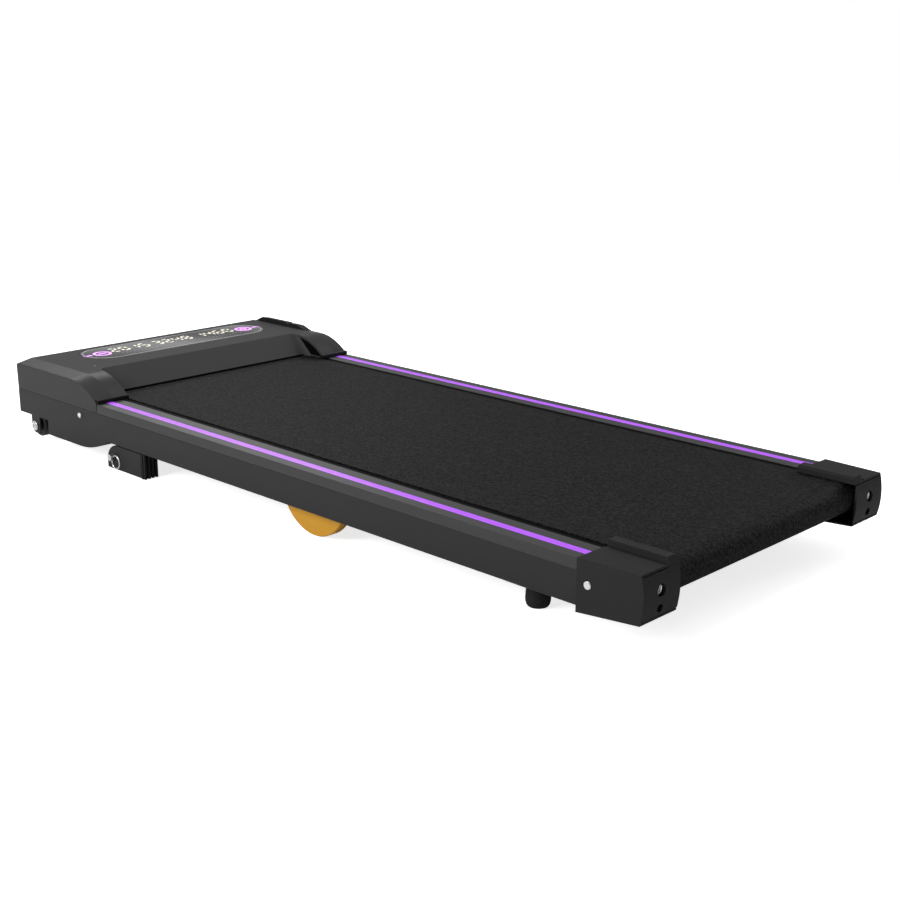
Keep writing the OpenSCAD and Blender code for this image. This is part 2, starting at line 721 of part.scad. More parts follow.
// Controller board on posts with its finned heat sink
board_x = -well_x + 10;
board_y0 = front_roller_y + belt_r + 8;
board_z = belly_z + pan_t + 8;
module motor_controller() {
    sink_l = 52;
    sink_h = 26;
    fin_t = 1.6;
    base = board_z + 1.6;
    color(board_green) {
        box([board_x, board_y0, board_z], [board_x + board_l, board_y0 + board_w, base]);
        for (x = [board_x + 5, board_x + board_l - 5], y = [board_y0 + 5, board_y0 + board_w - 5])
            translate([x, y, belly_z + pan_t]) cylinder(h = board_z - belly_z - pan_t, r = 3, $fn = 32);
        // Three capacitors, a choke and a relay at shares of the board's length and width
        for (i = [0:2]) translate([board_x + (0.56 + i / 7) * board_l, board_y0 + 0.27 * board_w, base - eps])
            cylinder(h = 24 - i * 4, r = 8, $fn = 48);
        translate([board_x + 0.52 * board_l, board_y0 + 0.52 * board_w, base - eps])
            cube([0.22 * board_l, 0.36 * board_w, 20]);
        translate([board_x + 0.79 * board_l, board_y0 + 0.55 * board_w, base - eps])
            cube([0.15 * board_l, 0.21 * board_w, 15]);
    }
    color("#9a9da1") {
        box([board_x + 8, board_y0 + 6, base - eps], [board_x + 8 + sink_l, board_y0 + board_w - 6, base + 4]);
        for (i = [0:fin_n - 1]) translate([board_x + 8 + i * (sink_l - fin_t) / (fin_n - 1), board_y0 + 6, base])
            cube([fin_t, board_w - 12, sink_h]);
    }
}

// Base pan: belly tray between the side members with a well for each wheel
pan_x = web_x - gap;
well_z = wheel_z + wheel_d / 2 + 3;
pan_rim_z = flange_under - gap;
pan_rear_z = axle_z - belt_r - 3;
module pan_solid(t) {
    // Belly between the members
    along_x(-pan_x + t, pan_x - t) belly_outline(t, pan_rim_z + (t > 0 ? cut : 0));
    // Middle of the nose, with its chin rising to the front edge
    along_x(-well_x + t, well_x - t) polygon([[nose_y - cut - t, belly_z + t], [chin_y, belly_z + t],
        [front_y - t, nose_z + t * 0.7], [front_y - t, pan_rim_z + (t > 0 ? cut : 0)],
        [nose_y - cut - t, pan_rim_z + (t > 0 ? cut : 0)]]);
    // Upper part over the wheel wells
    box([-pan_x + t, nose_y - cut - t, well_z + t], [pan_x - t, front_y - t, pan_rim_z + (t > 0 ? cut : 0)]);
    if (t == 0) box([-pan_x, front_y - pan_t, nose_z + 4], [pan_x, front_y, rail_top]);
}
panel_z = nose_z + 20;
module base_pan() {
    color(black_plastic) difference() {
        union() {
            difference() {
                pan_solid(0);
                pan_solid(pan_t);
            }
            // Ribs across the floor and posts for the side screws
            for (i = [-2:2]) translate([i * pan_x / 4 - 1, belly_y, belly_z + pan_t - eps])
                cube([2, board_y0 - 2 - belly_y, 4]);
            both_sides() bar_x(pan_x - 12, pan_x, [side_screw_y, side_screw_z], 5);
        }
        // Way for the lower run of the belt
        box([-deck_w / 2 - 4, belly_rear_y - cut, pan_rear_z], [deck_w / 2 + 4, belly_y - 20, rail_top]);
        both_sides() bar_x(pan_x - 10, pan_x + cut, [side_screw_y, side_screw_z], side_screw_shank / 2 + run);
        box([inlet_x - inlet_w / 2 - 2, front_y - 5, panel_z - inlet_h / 2 - 2],
            [inlet_x + inlet_w / 2 + 2, front_y + cut, panel_z + inlet_h / 2 + 2]);
        box([switch_x - rocker_w / 2 - 3, front_y - 5, panel_z - rocker_h / 2 - 3],
            [switch_x + rocker_w / 2 + 3, front_y + cut, panel_z + rocker_h / 2 + 3]);
    }
}

// Mains inlet: flanged socket with three blades, recessed in the front wall
inlet_depth = 17;
front_recess = 3;
module power_inlet() {
    y_face = front_y - pan_t - front_recess;
    color(rubber_black) difference() {
        union() {
            box([inlet_x - inlet_w / 2 - 1.8, front_y - pan_t - inlet_depth - 4, panel_z - inlet_h / 2 - 1.8],
                [inlet_x + inlet_w / 2 + 1.8, front_y - 0.6, panel_z + inlet_h / 2 + 1.8]);
            box([inlet_x - inlet_w / 2 - 8, y_face, panel_z - inlet_h / 2 - 4],
                [inlet_x + inlet_w / 2 + 8, front_y - pan_t, panel_z + inlet_h / 2 + 4]);
        }
        box([inlet_x - inlet_w / 2, front_y - pan_t - inlet_depth, panel_z - inlet_h / 2],
            [inlet_x + inlet_w / 2, front_y + cut, panel_z + inlet_h / 2]);
    }
    color(steel) for (p = [[-7, -2], [7, -2], [0, 2.5]])
        translate([inlet_x + p[0] - 1, front_y - pan_t - inlet_depth - eps, panel_z + p[1] - 2])
            cube([2, inlet_depth - 7, 4]);
}
rocker_y = front_y - 4;
module switch_housing() {
    color(rubber_black) difference() {
        union() {
            box([switch_x - rocker_w / 2 - 2.8, front_y - 26, panel_z - rocker_h / 2 - 2.8],
                [switch_x + rocker_w / 2 + 2.8, front_y - 0.6, panel_z + rocker_h / 2 + 2.8]);
            box([switch_x - rocker_w / 2 - 6, front_y - pan_t - 3, panel_z - rocker_h / 2 - 5],
                [switch_x + rocker_w / 2 + 6, front_y - pan_t, panel_z + rocker_h / 2 + 5]);
        }
        box([switch_x - rocker_w / 2 - gap, front_y - 15, panel_z - rocker_h / 2 - 0.8],
            [switch_x + rocker_w / 2 + gap, front_y + cut, panel_z + rocker_h / 2 + 0.8]);
        bar_x(switch_x - rocker_w / 2 - 2.4, switch_x + rocker_w / 2 + 2.4, [rocker_y - 4, panel_z], 1.5 + run);
    }
}
// Rocker outline: two flat faces that meet over the pivot, as one half is always pressed
module switch_rocker() {
    half = rocker_h / 2;
    rise = half * tan(rocker_angle / 2);
    color(rubber_black) {
        along_x(switch_x - rocker_w / 2, switch_x + rocker_w / 2) translate([rocker_y - 4, panel_z])
            rotate(-rocker_angle / 2) intersection() {
                polygon([[3.4, 0], [3.4 + rise, half], [-2.5, half - 2], [-5, 2.5], [-5, -2.5],
                         [-2.5, 2 - half], [3.4 + rise, -half]]);
                circle(r = half - 0.2, $fn = 96);
            }
        bar_x(switch_x - rocker_w / 2 - 2.2, switch_x + rocker_w / 2 + 2.2, [rocker_y - 4, panel_z], 1.5);
    }
}

// Hood: side outline with the rounded shoulder, inset by the wall for the inside
ridge_x = side_x - chamfer_w;
chamfer_tilt = atan(chamfer_drop / chamfer_w);
arm_start_y = arm_end_y + sqrt(pow(arm_r, 2) - pow(arm_r - hood_rise, 2)) - 4;
module shoulder_outline(inset, low) {
    intersection() {
        union() {
            plate([arm_start_y, low], [front_y - inset - brow_r, hood_top - inset]);
            plate([front_y - inset - brow_r - eps, low], [front_y - inset, hood_top - inset - brow_r]);
            translate([front_y - inset - brow_r, hood_top - inset - brow_r]) circle(r = brow_r, $fn = 64);
            translate([arm_start_y, hood_top - arm_r]) circle(r = arm_r - inset, $fn = 200);
        }
        plate([arm_end_y + inset, low], [front_y, hood_top]);
    }
}
// Turns something about the ridge on to the falling chamfer
module on_chamfer() {
    translate([ridge_x, 0, hood_top]) rotate([0, chamfer_tilt, 0]) translate([0, 0, -hood_top]) children();
}
// The shoulder's outline run across the machine, and brought down by the chamfer on both sides
module crowned(inset, x0, x1, low) {
    deep = low - frame_w / 2;
    intersection() {
        along_x(x0, x1) shoulder_outline(inset, low);
        on_chamfer() along_x(-1.1 * frame_w, frame_w / 4) shoulder_outline(inset, deep);
        on_left() on_chamfer() along_x(-1.1 * frame_w, frame_w / 4) shoulder_outline(inset, deep);
    }
}
// Room behind the sloped rear face, with fillets where it meets the shoulders
slope_foot_z = tread_z + 2;
slope_angle = atan2(hood_top - slope_foot_z, slope_top_y - slope_foot_y);
module above_slope() {
    reach = 90;
    translate([0, slope_foot_y, slope_foot_z]) rotate([90 + slope_angle, 0, 0])
        translate([0, 0, -reach]) linear_extrude(2 * reach) {
            plate([-arm_in_x, slope_fillet], [arm_in_x, reach]);
            plate([slope_fillet - arm_in_x, 0], [arm_in_x - slope_fillet, reach]);
            for (s = [-1, 1]) translate([s * (arm_in_x - slope_fillet), slope_fillet])
                circle(r = slope_fillet, $fn = 96);
        }
}
// Outline of the room under the slope and the top
module under_slope() {
    dy = hood_wall / sin(slope_angle);
    lean = (slope_top_y - slope_foot_y) / (hood_top - slope_foot_z);
    intersection() {
        shoulder_outline(hood_wall, rail_top - cut);
        polygon([[slope_foot_y + dy, rail_top - 2 * cut], [slope_foot_y + dy, slope_foot_z],
                 [slope_foot_y + dy + lean * (hood_top - slope_foot_z), hood_top],
                 [front_y, hood_top], [front_y, rail_top - 2 * cut]]);
    }
}
module lens_outline(grow) {
    r = lens_w / 2 + grow;
    for (s = [-1, 1]) translate([lens_x + s * (lens_l - lens_w) / 2, lens_y]) circle(r = r, $fn = 120);
    plate([lens_x - (lens_l - lens_w) / 2, lens_y - r], [lens_x + (lens_l - lens_w) / 2, lens_y + r]);
}
lens_ledge = 6;
lens_seat_z = hood_top - lens_t - 0.2;
receiver_x = lens_x - lens_l / 2 - 23;
receiver_y = lens_y - 67;
module motor_hood() {
    inner_x = side_x - hood_wall;
    room_x = arm_in_x + hood_wall;
    color(hood_grey) difference() {
        union() {
            difference() {
                crowned(0, -side_x, side_x, rail_top);
                above_slope();
                along_x(-room_x, room_x) under_slope();
                both_sides() crowned(hood_wall, room_x, inner_x, rail_top - cut);
                // The shoulders stand over the foot rails
                box([-side_x - cut, arm_end_y - cut, rail_top - cut],
                    [side_x + cut, lip_front_y + gap, tread_z + gap]);
                box([-inner_x, arm_end_y - cut, rail_top - cut],
                    [inner_x, slope_foot_y + 20, tread_z + gap]);
            }
            // Frame under the lens seat
            translate([0, 0, lens_seat_z - 3]) linear_extrude(3.1) difference() {
                lens_outline(3);
                lens_outline(-lens_ledge);
            }
        }
        translate([0, 0, lens_seat_z]) linear_extrude(lens_t + cut) lens_outline(0.4);
        translate([0, 0, lens_seat_z - 3 - cut]) linear_extrude(lens_t + 2 * cut) lens_outline(-lens_ledge);
        translate([receiver_x, receiver_y, hood_top - hood_wall - cut])
            cylinder(h = hood_wall + 2 * cut, r = receiver_d / 2 + run, $fn = 48);
    }
}
module display_lens() {
    color("#8b8d90", 0.85) translate([0, 0, lens_seat_z]) linear_extrude(lens_t) lens_outline(0);
}
// Display board with three blocks of digits under the lens, held by posts on the hood's frame
digit_w = 60;
module display_board() {
    top = lens_seat_z - 3;
    color(board_green) {
        translate([0, 0, top - 1.6]) linear_extrude(1.6) lens_outline(-lens_ledge + 4);
        for (i = [-1, 0, 1]) translate([lens_x + i * (digit_w + 22) - digit_w / 2, lens_y - 14, top - eps])
            cube([digit_w, 28, 2]);
        for (s = [-1, 1]) translate([lens_x + s * (lens_l / 2 - 34), lens_y, top - eps])
            cylinder(h = 2, r = 9, $fn = 48);
    }
}
module receiver_window() {
    color(rubber_black) translate([receiver_x, receiver_y, hood_top - hood_wall])
        cylinder(h = hood_wall - 0.2, r = receiver_d / 2, $fn = 48);
}

// Low moulded strip on the right shoulder's chamfer
grip_front_y = front_y - grip_front_in;
grip_rear_y = front_y - grip_rear_in;
grip_notch_y = front_y - grip_notch_in;
module shoulder_strip() {
    low = grip_h - grip_notch;
    color(rubber_black) on_chamfer() along_x(grip_off, grip_off + grip_w) translate([0, hood_top]) polygon([
        [grip_rear_y, 0], [grip_front_y, 0], [grip_front_y - grip_ramp, grip_h],
        [grip_notch_y + 2.6 * grip_notch, grip_h], [grip_notch_y + 0.9 * grip_notch, low + 0.8],
        [grip_notch_y, low], [grip_notch_y - 0.6 * grip_notch, grip_h - 0.6],
        [grip_rear_y + 1.4 * grip_ramp, grip_h - 1.2], [grip_rear_y + 0.4 * grip_ramp, grip_h / 5]]);
}

// Transport wheels between the member's tab and a fork plate
wheel_x = web_x - 3.6 - wheel_w / 2;
fork_x = wheel_x - wheel_w / 2 - 2;
module wheel() {
    hub_r = wheel_bolt_d / 2 + 3;
    color(rubber_black) difference() {
        union() {
            translate([wheel_x, wheel_y, wheel_z]) rotate([0, 90, 0]) rotate_extrude($fn = 96) polygon([
                [1, -wheel_w / 2], [wheel_d / 2 - 5, -wheel_w / 2 + 1.2], [wheel_d / 2 - 4, -wheel_w / 2],
                [wheel_d / 2 - 1.5, -wheel_w / 2], [wheel_d / 2, -wheel_w / 2 + 2],
                [wheel_d / 2, wheel_w / 2 - 2], [wheel_d / 2 - 1.5, wheel_w / 2],
                [wheel_d / 2 - 4, wheel_w / 2], [wheel_d / 2 - 5, wheel_w / 2 - 1.2], [1, wheel_w / 2]]);
            bar_x(fork_x + gap, web_x - gap, [wheel_y, wheel_z], hub_r);
        }
        bar_x(fork_x - cut, web_x + cut, [wheel_y, wheel_z], wheel_bolt_d / 2 + run);
    }
}
fork_t = 2.5;
module wheel_forks() {
    color(black_steel) both_sides() difference() {
        union() {
            along_x(fork_x - fork_t, fork_x) {
                plate([wheel_y - wheel_tab_r + 1, wheel_z], [wheel_y + wheel_tab_r - 1, well_z]);
                translate([wheel_y, wheel_z]) circle(r = wheel_tab_r - 1, $fn = 64);
            }
            box([fork_x - fork_t, wheel_y - wheel_tab_r + 1, well_z - fork_t + 1],
                [pan_x - 1, wheel_y + wheel_tab_r - 1, well_z]);
        }
        bar_x(fork_x - fork_t - cut, fork_x + cut, [wheel_y, wheel_z], wheel_bolt_d / 2 + run);
    }
}
module wheel_bolts() {
    color(steel) both_sides() difference() {
        union() {
            bar_x(fork_x - fork_t - 5, side_x, [wheel_y, wheel_z], wheel_bolt_d / 2);
            bar_x(side_x, side_x + 2.4, [wheel_y, wheel_z], wheel_bolt_d / 2 + 3.5);
            bar_x(side_x + 2.4 - eps, side_x + 3.8, [wheel_y, wheel_z], wheel_bolt_d / 2 + 1.8);
            translate([fork_x - fork_t - 4, wheel_y, wheel_z]) rotate([0, 90, 0])
                cylinder(h = 4, r = wheel_bolt_d / 2 + 3, $fn = 6);
        }
        translate([side_x + 2, wheel_y, wheel_z]) rotate([0, 90, 0]) cylinder(h = 8, r = 2.9, $fn = 6);
    }
}

// Incline leg: a box section with a rounded front, drawn on the right side
leg_out_x = side_x - 3.6;
leg_in_x = leg_out_x - leg_w;
leg_front_y = leg_y + leg_r;
leg_rear_y = leg_front_y - leg_l;
leg_low_z = 1;
pin_y = leg_y + pin_fwd;
pin_z = leg_z + pin_up;
pivot_depth = leg_w - 7;
module leg_outline(inset) {
    intersection() {
        translate([leg_y, leg_z]) circle(r = leg_r - inset, $fn = 96);
        plate([leg_y - 5, leg_z - 5], [leg_front_y, leg_z + leg_r]);
    }
    plate([leg_y - 5, leg_low_z + inset], [leg_front_y - inset, leg_z]);
    plate([leg_rear_y - (inset > 0 ? cut : 0), leg_low_z + inset], [leg_y, leg_z + leg_r - inset]);
}
module leg() {
    color("#333437") difference() {
        union() {
            difference() {
                along_x(leg_in_x, leg_out_x) leg_outline(0);
                along_x(leg_in_x + leg_t, leg_out_x - leg_t) leg_outline(leg_t);
            }
            bar_x(leg_in_x, leg_out_x - leg_t / 2, [leg_y, leg_z], pivot_d / 2 + 3);
            bar_x(leg_in_x, leg_out_x - leg_t / 2, [pin_y, pin_z], pin_d / 2 + 2);
        }
        bar_x(leg_in_x - cut, leg_in_x + pivot_depth, [leg_y, leg_z], pivot_d / 2 + run);
        bar_x(leg_in_x - cut, leg_out_x + cut, [pin_y, pin_z], pin_d / 2 + run);
    }
}
// Rubber end with upright ribs and a plug that fills the leg's open end
module leg_tip() {
    pitch = leg_w / tip_ribs;
    high = leg_z + leg_r;
    color(rubber_black) {
        box([leg_in_x, leg_rear_y - tip_l / 2, 0], [leg_out_x, leg_rear_y, high]);
        box([leg_in_x + leg_t + gap, leg_rear_y - eps, leg_low_z + leg_t + gap],
            [leg_out_x - leg_t - gap, leg_rear_y + 20, high - leg_t - gap]);
        for (i = [0:tip_ribs - 1]) box([leg_in_x + (i + 0.2) * pitch, leg_rear_y - tip_l, 0],
            [leg_in_x + (i + 0.8) * pitch, leg_rear_y - tip_l / 2 + eps, high]);
    }
}
// Bracket plate with a bore for the pivot and an arc slot for the lock pin
leg_plate_t = 3;
leg_plate_x = leg_in_x - gap - leg_plate_t;
bracket_half = leg_r - 6;
pin_arc_r = norm([pin_fwd, pin_up]);
pin_arc_a = atan2(pin_up, pin_fwd);
slot_r = pin_d / 2 + gap;
module leg_bracket_outline() {
    translate([leg_y, leg_z]) circle(r = leg_z - 1.5, $fn = 64);
    polygon([[leg_y - leg_z + 1.5, leg_z], [leg_y + leg_z - 1.5, leg_z - 2], [leg_y + bracket_half - 1, pin_z],
             [leg_y + bracket_half, under_z], [leg_y - bracket_half, under_z],
             [leg_y - bracket_half + 1, pin_z]]);
}
module leg_bracket() {
    color(black_steel) difference() {
        union() {
            along_x(leg_plate_x, leg_plate_x + leg_plate_t) leg_bracket_outline();
            box([leg_plate_x - 14, leg_y - bracket_half, under_z - leg_plate_t],
                [leg_plate_x + eps, leg_y + bracket_half, under_z]);
        }
        bar_x(leg_plate_x - cut, leg_in_x, [leg_y, leg_z], pivot_d / 2 + run);
        along_x(leg_plate_x - cut, leg_plate_x + leg_plate_t + cut) translate([leg_y, leg_z]) {
            intersection() {
                difference() {
                    circle(r = pin_arc_r + slot_r, $fn = 96);
                    circle(r = pin_arc_r - slot_r, $fn = 96);
                }
                rotate(pin_arc_a) square(2 * leg_r);
            }
            for (a = [pin_arc_a, pin_arc_a + 90]) rotate(a) translate([pin_arc_r, 0])
                circle(r = slot_r, $fn = 48);
        }
    }
}
module leg_pivots() {
    color(steel) both_sides() {
        bar_x(leg_plate_x - 5, leg_plate_x, [leg_y, leg_z], pivot_d / 2 + 2.5);
        bar_x(leg_plate_x - eps, leg_in_x + pivot_depth - 1, [leg_y, leg_z], pivot_d / 2);
    }
}
// Lock pin with a cross hole for the pull ring's wire
pin_head_x = leg_out_x + gap;
ring_x = pin_head_x + pin_head_t / 2;
ring_turn = 205;
hole_off = 1.8;
hole_r = 2.2;
// The ring's wire lies against the outer side of its hole, where the curved wire leaves the head
hole_half = sqrt(pow(pin_head_d / 2, 2) - pow(hole_off + hole_r, 2));
ring_sag = ring_r - sqrt(pow(ring_r, 2) - pow(hole_half, 2));
ring_seat = hole_off + hole_r - wire_d / 2 - ring_sag - 2 * run;
module lock_pin() {
    color(steel) difference() {
        union() {
            bar_x(pin_head_x, pin_head_x + pin_head_t, [pin_y, pin_z], pin_head_d / 2);
            bar_x(leg_plate_x - 1, pin_head_x + eps, [pin_y, pin_z], pin_d / 2);
        }
        translate([ring_x, pin_y, pin_z]) rotate([ring_turn, 0, 0]) translate([0, hole_off, 0])
            cylinder(h = 2 * pin_head_d, r = hole_r, center = true, $fn = 48);
    }
}
module pull_ring() {
    color(steel) translate([ring_x, pin_y, pin_z]) rotate([ring_turn, 0, 0])
        translate([0, ring_seat + ring_r, 0]) rotate([0, 90, 0]) rotate_extrude($fn = 96)
            translate([ring_r, 0]) circle(r = wire_d / 2, $fn = 32);
}

// Rear foot: tapered rubber on a threaded stud under its bracket plate
stud_d = 8;
foot_plate_t = 2.5;
foot_plate_half = foot_d / 2 + 2;
module rear_foot() {
    color(rubber_black) translate([foot_x, foot_y, 0]) rotate_extrude($fn = 96) polygon([
        [0, 0], [foot_d / 2 - 5, 0], [foot_d / 2 - 2.6, 1], [foot_d / 2 - 1, 3.4], [foot_d / 2 - 0.2, 7],
        [foot_d / 2, 10], [foot_d / 2 - 0.6, foot_h - 4], [foot_d / 2 - 1.6, foot_h - 1.2],
        [foot_d / 2 - 3, foot_h], [stud_d / 2 + run, foot_h], [stud_d / 2 + run, 4], [0, 4]]);
}
module foot_studs() {
    color(steel) both_sides() {
        translate([foot_x, foot_y, 4]) cylinder(h = under_z + 5 - 4, r = stud_d / 2, $fn = 48);
        translate([foot_x, foot_y, foot_h]) cylinder(h = 4, r = stud_d / 2 + 3, $fn = 6);
        translate([foot_x, foot_y, under_z]) cylinder(h = 4, r = stud_d / 2 + 3, $fn = 6);
        difference() {
            box([foot_x - foot_plate_half, foot_y - foot_plate_half, under_z - foot_plate_t],
                [web_x - bend_r - 1, foot_y + foot_plate_half, under_z]);
            translate([foot_x, foot_y, under_z - cut - foot_plate_t])
                cylinder(h = 2 * cut + foot_plate_t, r = stud_d / 2 - eps, $fn = 48);
        }
    }
}
// Half-moon bumper under the side member, with a rounded rim and two screw recesses
module bumper() {
    x0 = flange_x + 1;
    z0 = bumper_r + bumper_lift;
    color(amber) intersection() {
        translate([x0, bumper_y, z0]) rotate([0, 90, 0]) rotate_extrude($fn = 200) polygon([
            [0, 0], [bumper_r - 1.2, 0], [bumper_r, 1.2], [bumper_r, bumper_t - 1.2],
            [bumper_r - 1.2, bumper_t], [0, bumper_t]]);
        box([x0 - 1, bumper_y - bumper_r, 0], [x0 + bumper_t + 1, bumper_y + bumper_r, under_z]);
    }
}

// Screws that show on the sides
module screw_head(x, at, r, deep) {
    difference() {
        union() {
            bar_x(x, x + 1.6, at, r);
            bar_x(x + 1.6 - eps, x + 2.2, at, r - 0.8);
        }
        translate([x + 2.3, at[0], at[1]]) for (a = [0, 90]) rotate([a, 0, 0])
            cube([2 * deep, 1.1, 1.2 * r], center = true);
    }
}
module side_screws() {
    color(steel) both_sides() {
        bar_x(pan_x - 9, side_x + eps, [side_screw_y, side_screw_z], side_screw_shank / 2);
        screw_head(side_x, [side_screw_y, side_screw_z], 4.2, 1.2);
    }
}
module cap_screws() {
    seat = cap_out_x(cap_screw_y) - 1.4;
    color(steel) both_sides() {
        bar_x(bracket_out_x - bracket_t - 4, seat + eps, [cap_screw_y, cap_screw_z], cap_shank_d / 2);
        screw_head(seat, [cap_screw_y, cap_screw_z], cap_screw_head_d / 2, 1.2);
    }
}

on_left() side_member();  // left_side_member
side_member();  // right_side_member
cross_tubes();
deck_board();
deck_cushions();
running_belt();
on_left() foot_rail();  // left_foot_rail
foot_rail();  // right_foot_rail
on_left() light_strip();  // left_light_strip
light_strip();  // right_light_strip
on_left() end_cap();  // left_end_cap
end_cap();  // right_end_cap
on_left() roller_bracket();  // left_roller_bracket
roller_bracket();  // right_roller_bracket
rear_roller();
rear_axle();
bearing_pair(rear_roller_y, roller_end_x);  // rear_bearings
front_roller();
front_axle();
bearing_pair(front_roller_y, pulley_out_x);  // front_bearings
roller_pulley();
tension_bolts();
drive_motor();
motor_pulley();
motor_saddles();
drive_belt();
motor_controller();
base_pan();
motor_hood();
display_lens();
display_board();
receiver_window();
power_inlet();
switch_housing();
switch_rocker();
shoulder_strip();
on_left() wheel();  // left_wheel
wheel();  // right_wheel
wheel_bolts();
wheel_forks();
on_left() leg();  // left_leg
leg();  // right_leg
on_left() leg_tip();  // left_leg_tip
leg_tip();  // right_leg_tip
on_left() leg_bracket();  // left_leg_bracket
leg_bracket();  // right_leg_bracket
leg_pivots();
on_left() lock_pin();  // left_lock_pin
lock_pin();  // right_lock_pin
on_left() pull_ring();  // left_pull_ring
pull_ring();  // right_pull_ring
on_left() rear_foot();  // left_rear_foot
rear_foot();  // right_rear_foot
foot_studs();
on_left() bumper();  // left_bumper
bumper();  // right_bumper
side_screws();
cap_screws();
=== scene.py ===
import json
import math

import bmesh
import bpy
from mathutils import Matrix, Vector

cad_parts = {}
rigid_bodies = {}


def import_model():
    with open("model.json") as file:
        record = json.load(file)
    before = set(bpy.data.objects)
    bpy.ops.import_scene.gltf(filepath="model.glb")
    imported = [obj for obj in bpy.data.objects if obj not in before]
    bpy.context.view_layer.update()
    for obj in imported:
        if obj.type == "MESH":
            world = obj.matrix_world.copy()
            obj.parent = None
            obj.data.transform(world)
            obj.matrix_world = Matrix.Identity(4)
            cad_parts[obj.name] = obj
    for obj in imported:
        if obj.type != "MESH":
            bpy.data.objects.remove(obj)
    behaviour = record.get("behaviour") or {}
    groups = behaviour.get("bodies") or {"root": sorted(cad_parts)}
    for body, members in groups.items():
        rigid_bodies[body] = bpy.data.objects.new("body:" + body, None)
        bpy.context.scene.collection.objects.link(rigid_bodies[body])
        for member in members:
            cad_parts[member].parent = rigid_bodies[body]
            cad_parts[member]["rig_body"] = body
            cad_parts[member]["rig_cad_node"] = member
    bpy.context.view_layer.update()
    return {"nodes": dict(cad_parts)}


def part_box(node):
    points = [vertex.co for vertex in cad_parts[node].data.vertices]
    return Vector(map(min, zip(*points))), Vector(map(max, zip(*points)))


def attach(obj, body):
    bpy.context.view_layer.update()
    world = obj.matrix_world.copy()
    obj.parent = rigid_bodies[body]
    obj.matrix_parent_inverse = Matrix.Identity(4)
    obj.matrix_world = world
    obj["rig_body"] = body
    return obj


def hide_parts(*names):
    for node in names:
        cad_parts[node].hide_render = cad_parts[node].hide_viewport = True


# %% [markdown]
# This lesson dresses a walking pad: a low, flat treadmill without handrails. The solids come from
# the CAD model, which has the real sizes and the joints. Here they get rounded edges, real finishes
# and the small things that CAD leaves plain, such as the display's digits and the belt's grain.

# %% Load the solids
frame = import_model()
NODES = frame["nodes"]
MM = 0.001

# %% [markdown]
# The camera comes first, because it decides how coarse a detail may be. It was fitted to the long
# straight edges of the machine, so it has a place, a turn and a focal length in pixels. Blender
# wants a focal length in millimetres on a sensor, and one line turns the first into the second.

# %% Camera
EYE = (-1.3112, -1.3675, 0.6034)
YAW, PITCH, ROLL = 45.943, 16.254, 0.198
FOCAL_PX, PICTURE_PX, SENSOR = 1410.2, 900.0, 36.0
bpy.ops.object.camera_add(location=EYE)
camera = bpy.context.object
turn = Matrix.Rotation(math.radians(-YAW), 3, "Z") @ Matrix.Rotation(math.radians(90 - PITCH), 3, "X")
camera.rotation_euler = (turn @ Matrix.Rotation(math.radians(ROLL), 3, "Z")).to_euler()
camera.data.sensor_width = SENSOR
camera.data.lens = FOCAL_PX / PICTURE_PX * SENSOR
camera.data.clip_start, camera.data.clip_end = 0.01, 50.0
bpy.context.scene.camera = camera
bpy.context.scene.view_settings.view_transform = "Standard"
print("focal length in mm:", round(camera.data.lens, 1))

# %% [markdown]
# Operators act on whatever is selected, and the solids arrive selected. So every piece starts
# from an empty selection. The helpers below empty it, apply modifiers, put a piece's place in its
# mesh, draw a flat outline out to a solid, give a finish and smooth the bends.

# %% Helpers for selecting and finishing
SMOOTH_TO = 32.0
NEAR = 0.001 * MM


def clear_selection():
    if bpy.context.object and bpy.context.object.mode != "OBJECT":
        bpy.ops.object.mode_set(mode="OBJECT")
    bpy.ops.object.select_all(action="DESELECT")


def make_active(piece):
    clear_selection()
    piece.select_set(True)
    bpy.context.view_layer.objects.active = piece


def apply_all(piece):
    make_active(piece)
    for modifier in list(piece.modifiers):
        bpy.ops.object.modifier_apply(modifier=modifier.name)


def settle(piece):
    make_active(piece)
    bpy.ops.object.transform_apply(location=True, rotation=True, scale=True)


def draw_out(piece, way):
    """Extrudes the whole of a flat piece once, and turns its faces outwards."""
    make_active(piece)
    bpy.ops.object.mode_set(mode="EDIT")
    bpy.ops.mesh.select_all(action="SELECT")
    bpy.ops.mesh.extrude_region_move(TRANSFORM_OT_translate={"value": way})
    bpy.ops.mesh.select_all(action="SELECT")
    bpy.ops.mesh.normals_make_consistent(inside=False)
    bpy.ops.object.mode_set(mode="OBJECT")


def give(piece, *materials):
    piece.data.materials.clear()
    for material in materials:
        piece.data.materials.append(material)


def smooth(piece, angle=SMOOTH_TO):
    """Smooths bends up to the angle in degrees, and lets big flat faces keep their own normals."""
    make_active(piece)
    bpy.ops.object.shade_smooth_by_angle(angle=math.radians(angle))
    even = piece.modifiers.new("even normals", "WEIGHTED_NORMAL")
    even.keep_sharp = True
    apply_all(piece)


# %% [markdown]
# Colours are written as the sRGB hex values that the eye knows, and one function turns them to
# the linear values that the shader counts with.

# %% Colours and nodes
def srgb(code):
    def linear(part):
        return part / 12.92 if part <= 0.04045 else ((part + 0.055) / 1.055) ** 2.4
    code = code.lstrip("#")
    return tuple(linear(int(code[i:i + 2], 16) / 255) for i in (0, 2, 4)) + (1.0,)


def add(tree, kind, inputs=None, **settings):
    """Adds one node: settings are its properties, inputs its socket values or links."""
    node = tree.nodes.new(kind)
    for key, value in settings.items():
        setattr(node, key, value)
    for key, value in (inputs or {}).items():
        if isinstance(value, bpy.types.NodeSocket):
            tree.links.new(value, node.inputs[key])
        else:
            node.inputs[key].default_value = value
    return node


